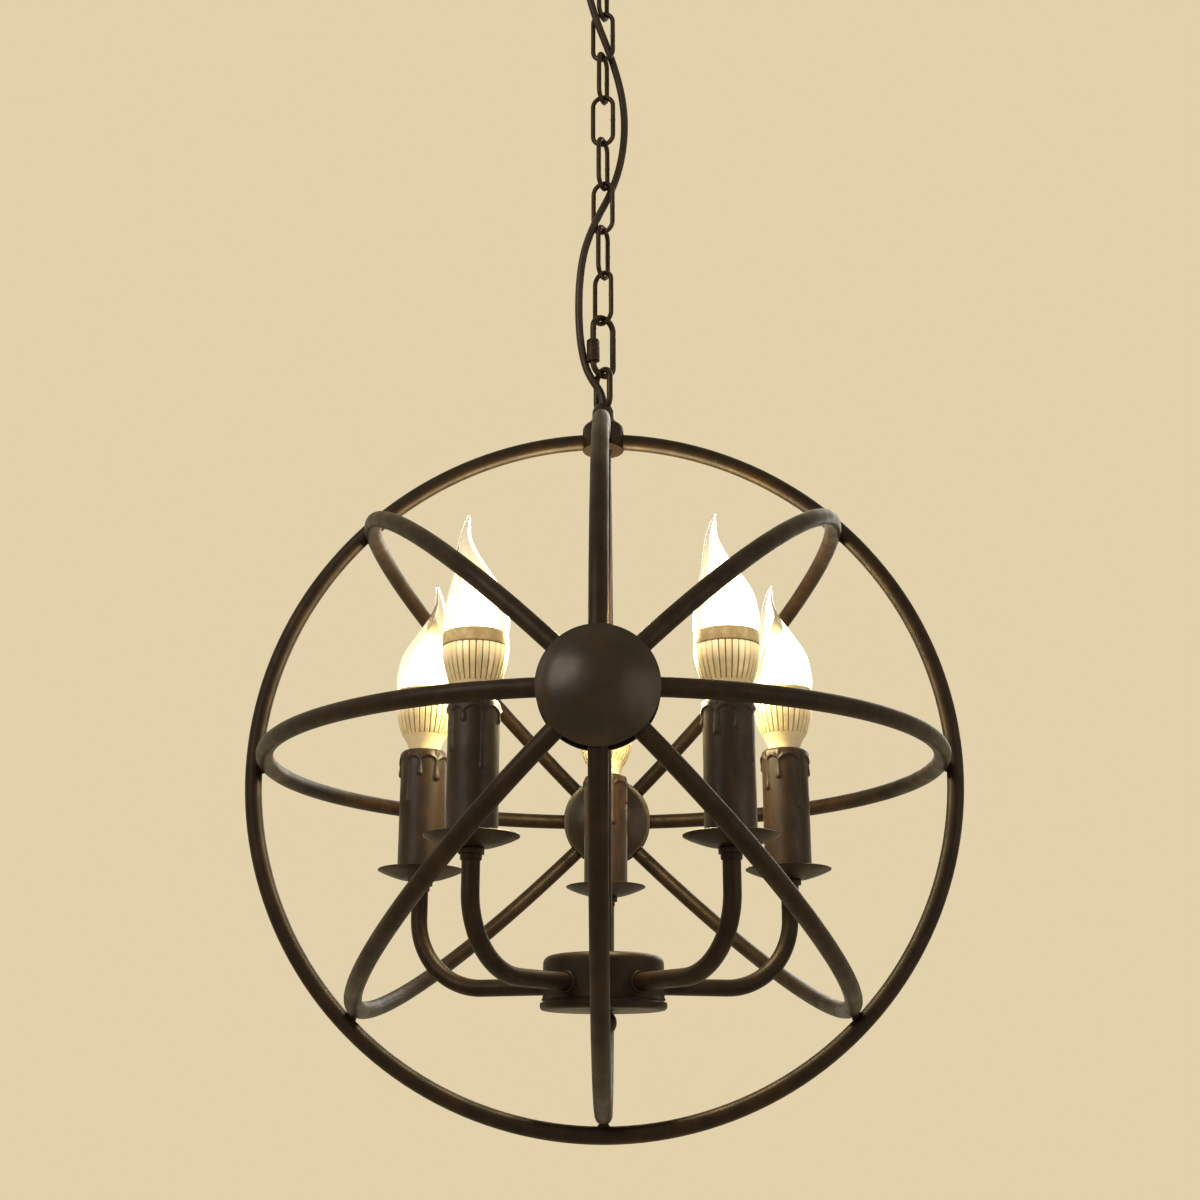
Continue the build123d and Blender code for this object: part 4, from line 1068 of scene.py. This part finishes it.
def bulb_housing():
    """The screw cap, pale neck, ribbed heat sink and the ring that holds the glass."""
    cap_outline = [(0, -10), (3.0, -9.6), (5.2, -7.5)]
    for i in range(THREADS):
        rise = THREAD_PITCH * i
        cap_outline += [(6.3, -6.2 + rise), (6.85, -5.0 + rise), (6.85, -4.4 + rise)]
    cap = lathe("cap", [*cap_outline, (6.3, NECK_BOTTOM), (0, NECK_BOTTOM)], steps=40)
    painted(cap, finishes["zinc"])

    neck_side = curved([(9.5, 17.6), (10.4, 21), (12.0, 24.4), (13.4, SINK_BOTTOM)])
    neck = lathe("neck", [(0, NECK_BOTTOM), (9.0, NECK_BOTTOM), *neck_side, (13.4, SINK_BOTTOM + 0.8),
                          (0, SINK_BOTTOM + 0.8)], steps=64)
    painted(neck, finishes["neck"])

    rows = [SINK_BOTTOM + (SINK_TOP - SINK_BOTTOM) * i / 10 for i in range(11)]
    core_side = [(sink_radius(height) - FIN_DEPTH, height) for height in rows]
    core = lathe("core", [(0, SINK_BOTTOM), *core_side, (SINK_R_HIGH, SINK_TOP), (SINK_R_HIGH, BAND_BOTTOM),
                          (0, BAND_BOTTOM)], steps=60)
    painted(core, finishes["groove"])

    # One rib is a cube drawn out to the sink's outline, with a round lower end, and is then spun.
    deselect()
    bpy.ops.mesh.primitive_cube_add(size=1)
    fin = named("fin")
    bpy.ops.object.mode_set(mode="EDIT")
    bpy.ops.mesh.subdivide(number_cuts=4)
    bpy.ops.object.mode_set(mode="OBJECT")
    for vertex in fin.data.vertices:
        height = SINK_BOTTOM + FIN_START + (SINK_TOP - SINK_BOTTOM - FIN_START) * (vertex.co.z + 0.5)
        outer = sink_radius(height)
        end = min(1, max(0, (height - SINK_BOTTOM) / FIN_FOOT))
        outer -= FIN_DEPTH * FIN_FOOT_DROP * (1 - sqrt(1 - (1 - end) ** 2))
        radial = outer - (0.5 - vertex.co.x) * (FIN_DEPTH + FIN_ROOT)
        vertex.co = Vector((radial, vertex.co.y * FIN_SHARE * 2 * pi * outer / FIN_COUNT, height)) * MM
    soft_edges(fin, 0.2, 1)
    bpy.ops.object.mode_set(mode="EDIT")
    bpy.ops.mesh.select_all(action="SELECT")
    bpy.ops.mesh.spin(steps=FIN_COUNT, dupli=True, angle=2 * pi, center=(0, 0, 0), axis=(0, 0, 1))
    bpy.ops.object.mode_set(mode="OBJECT")
    clean_mesh()
    # The ribs carry the painted glow that stands in for the bulb's light on the casting.
    painted(smooth(fin), finishes["aluminium"])

    band = lathe("band", [(0, BAND_BOTTOM), (17.9, BAND_BOTTOM), (18.2, BAND_BOTTOM + 0.6),
                          (18.2, BAND_TOP - 0.6), (17.9, BAND_TOP), (0, BAND_TOP)], steps=64)
    painted(band, finishes["band"])
    return joined("housing", [cap, neck, core, fin, band])


def flame_glass():
    """The thin blown flame, straight; its tip is bent when it is placed."""
    glass = lathe("flame", [*curved(FLAME, 6), (0.7, 126.1), (0, 126.4)], steps=64)
    finished_with(glass, "SOLIDIFY", thickness=GLASS_WALL * MM, offset=-1)
    return smooth(painted(glass, finishes["glass"]), 60)


class CHANDELIER_OT_bulbs(bpy.types.Operator):
    """Add the five lit flame-tip bulbs"""

    bl_idname = "chandelier.bulbs"
    bl_label = "Bulbs"

    def execute(self, context):
        housing = bulb_housing()
        glass = flame_glass()
        blaze_bottom = BAND_TOP + 0.1
        blaze = lathe("blaze", [(0, blaze_bottom), (GLARE[0][0], blaze_bottom), *curved(GLARE, 5)], steps=48)
        painted(blaze, finishes["glare"])
        for number, (azimuth, flame_yaw) in enumerate(zip(LAMP_AZIMUTHS, FLAME_YAWS), 1):
            place = lamp_place(azimuth)
            base = copy_of(housing, f"bulb_housing_{number}", place)
            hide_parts(f"bulb_base_{number}")
            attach(base, f"bulb_{number}")

            flame = copy_of(glass, f"bulb_flame_{number}")
            glare = copy_of(blaze, f"bulb_light_{number}")
            for piece in (flame, glare):
                for vertex in piece.data.vertices:
                    vertex.co += heading(flame_yaw) * flame_shift(vertex.co.z / MM) * MM
                piece.data.transform(Matrix.Translation(place.to_translation()))
                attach(piece, f"bulb_{number}")
            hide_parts(f"bulb_glass_{number}")
        remove(housing, glass, blaze)
        return {"FINISHED"}


def seen_rays(tree):
    """One where a ray is the camera's own, or reaches the surroundings by gloss or through glass."""
    rays = add_node(tree, "ShaderNodeLightPath")
    seen = rays.outputs["Is Camera Ray"]
    for kind in ("Is Transmission Ray", "Is Glossy Ray"):
        seen = add_node(tree, "ShaderNodeMath", {0: seen, 1: rays.outputs[kind]},
                        operation="MAXIMUM").outputs["Value"]
    return seen


class CHANDELIER_OT_stage(bpy.types.Operator):
    """Add the floor, the backdrop light, the studio lamps and the camera"""

    bl_idname = "chandelier.stage"
    bl_label = "Stage"

    def execute(self, context):
        c = context.scene.chandelier_colours
        deselect()
        bpy.ops.mesh.primitive_plane_add(size=FLOOR_SIZE_M, location=(0, 0, FLOOR_HEIGHT_M))
        floor = named("studio_floor")
        # Roller-painted board: matt, and lifted a little where it is seen, to meet the backdrop softly.
        paint = finish("studio_floor_paint", c.floor, c.wall, 0.8, patch=400, grain=8, grain_depth=0.1,
                       glow=c.wall)
        lift = add_node(paint.node_tree, "ShaderNodeMath", {0: seen_rays(paint.node_tree), 1: FLOOR_LIFT},
                        operation="MULTIPLY")
        shader = paint.node_tree.nodes["Principled BSDF"]
        paint.node_tree.links.new(lift.outputs["Value"], shader.inputs["Emission Strength"])
        painted(floor, paint)

        world = bpy.data.worlds.new("studio")
        context.scene.world = world
        world.use_nodes = True
        tree = world.node_tree
        shown = add_node(tree, "ShaderNodeBackground", {"Color": rgba(c.wall), "Strength": 1.0})
        lighting = tree.nodes["Background"]
        lighting.inputs["Color"].default_value = rgba(SURROUND_COLOUR)
        lighting.inputs["Strength"].default_value = SURROUND_STRENGTH
        mixed = add_node(tree, "ShaderNodeMixShader", {
            0: seen_rays(tree), 1: lighting.outputs["Background"], 2: shown.outputs["Background"]})
        tree.links.new(mixed.outputs["Shader"], tree.nodes["World Output"].inputs["Surface"])

        aim = orb_point(0, 0, 0)
        for name, (spot, size, power) in STUDIO_LAMPS.items():
            bpy.ops.object.light_add(type="AREA", location=aim + Vector(spot))
            lamp = named(name)
            lamp.data.size = size
            lamp.data.energy = power
            lamp.data.color = LAMP_COLOUR
            lamp.rotation_euler = (-Vector(spot)).to_track_quat("-Z", "Y").to_euler()

        # The lit bulbs throw warm light on the inside of the orb.
        bpy.ops.object.light_add(type="POINT", location=orb_point(0, 0, BULB_GLOW_HEIGHT))
        glow_light = named("bulb_glow")
        glow_light.data.energy = BULB_GLOW_POWER
        glow_light.data.shadow_soft_size = BULB_GLOW_SIZE_M
        glow_light.data.color = c.glow

        bpy.ops.object.camera_add(location=aim + Vector(CAMERA_FROM_ORB) * MM)
        camera = named("studio_camera")
        camera.rotation_euler = Vector(CAMERA_FORWARD).to_track_quat("-Z", "Y").to_euler()
        camera.data.sensor_width = CAMERA_SENSOR
        camera.data.lens = CAMERA_LENS
        camera.data.clip_start = CAMERA_CLIP_START_M
        context.scene.camera = camera
        context.scene.view_settings.view_transform = "Standard"
        return {"FINISHED"}


class CHANDELIER_PT_panel(bpy.types.Panel):
    """The chandelier's settings and steps"""

    bl_idname = "CHANDELIER_PT_panel"
    bl_label = "Orb Chandelier"
    bl_space_type = "VIEW_3D"
    bl_region_type = "UI"
    bl_category = "Chandelier"

    def draw(self, context):
        column = self.layout.column()
        for step in steps:
            column.operator(step.bl_idname)
        for group in (context.scene.chandelier_sizes, context.scene.chandelier_colours):
            for name in group.__annotations__:
                column.prop(group, name)


steps = (
    CHANDELIER_OT_finishes, CHANDELIER_OT_cable, CHANDELIER_OT_ceiling_parts, CHANDELIER_OT_chain,
    CHANDELIER_OT_hub, CHANDELIER_OT_hoops, CHANDELIER_OT_poles, CHANDELIER_OT_cluster_body,
    CHANDELIER_OT_arms, CHANDELIER_OT_sleeves, CHANDELIER_OT_bulbs, CHANDELIER_OT_stage,
)
classes = (ChandelierSizes, ChandelierColours, *steps, CHANDELIER_PT_panel)


def register():
    """Registers the classes and the scene's settings."""
    for cls in classes:
        bpy.utils.register_class(cls)
    bpy.types.Scene.chandelier_sizes = PointerProperty(type=ChandelierSizes)
    bpy.types.Scene.chandelier_colours = PointerProperty(type=ChandelierColours)


def unregister():
    """Takes the settings and the classes away again."""
    del bpy.types.Scene.chandelier_colours
    del bpy.types.Scene.chandelier_sizes
    for cls in reversed(classes):
        bpy.utils.unregister_class(cls)


def main():
    """Builds the dressed chandelier and its stage."""
    register()
    for leftover in [o for o in bpy.data.objects if o.name in ("Cube", "Light", "Camera")]:
        bpy.data.objects.remove(leftover)
    bpy.ops.chandelier.finishes()
    bpy.ops.chandelier.stage()
    bpy.ops.chandelier.cable()
    bpy.ops.chandelier.ceiling_parts()
    bpy.ops.chandelier.chain()
    bpy.ops.chandelier.hub()
    bpy.ops.chandelier.hoops()
    bpy.ops.chandelier.poles()
    bpy.ops.chandelier.cluster_body()
    bpy.ops.chandelier.arms()
    bpy.ops.chandelier.sleeves()
    bpy.ops.chandelier.bulbs()


if __name__ == "__main__":
    main()
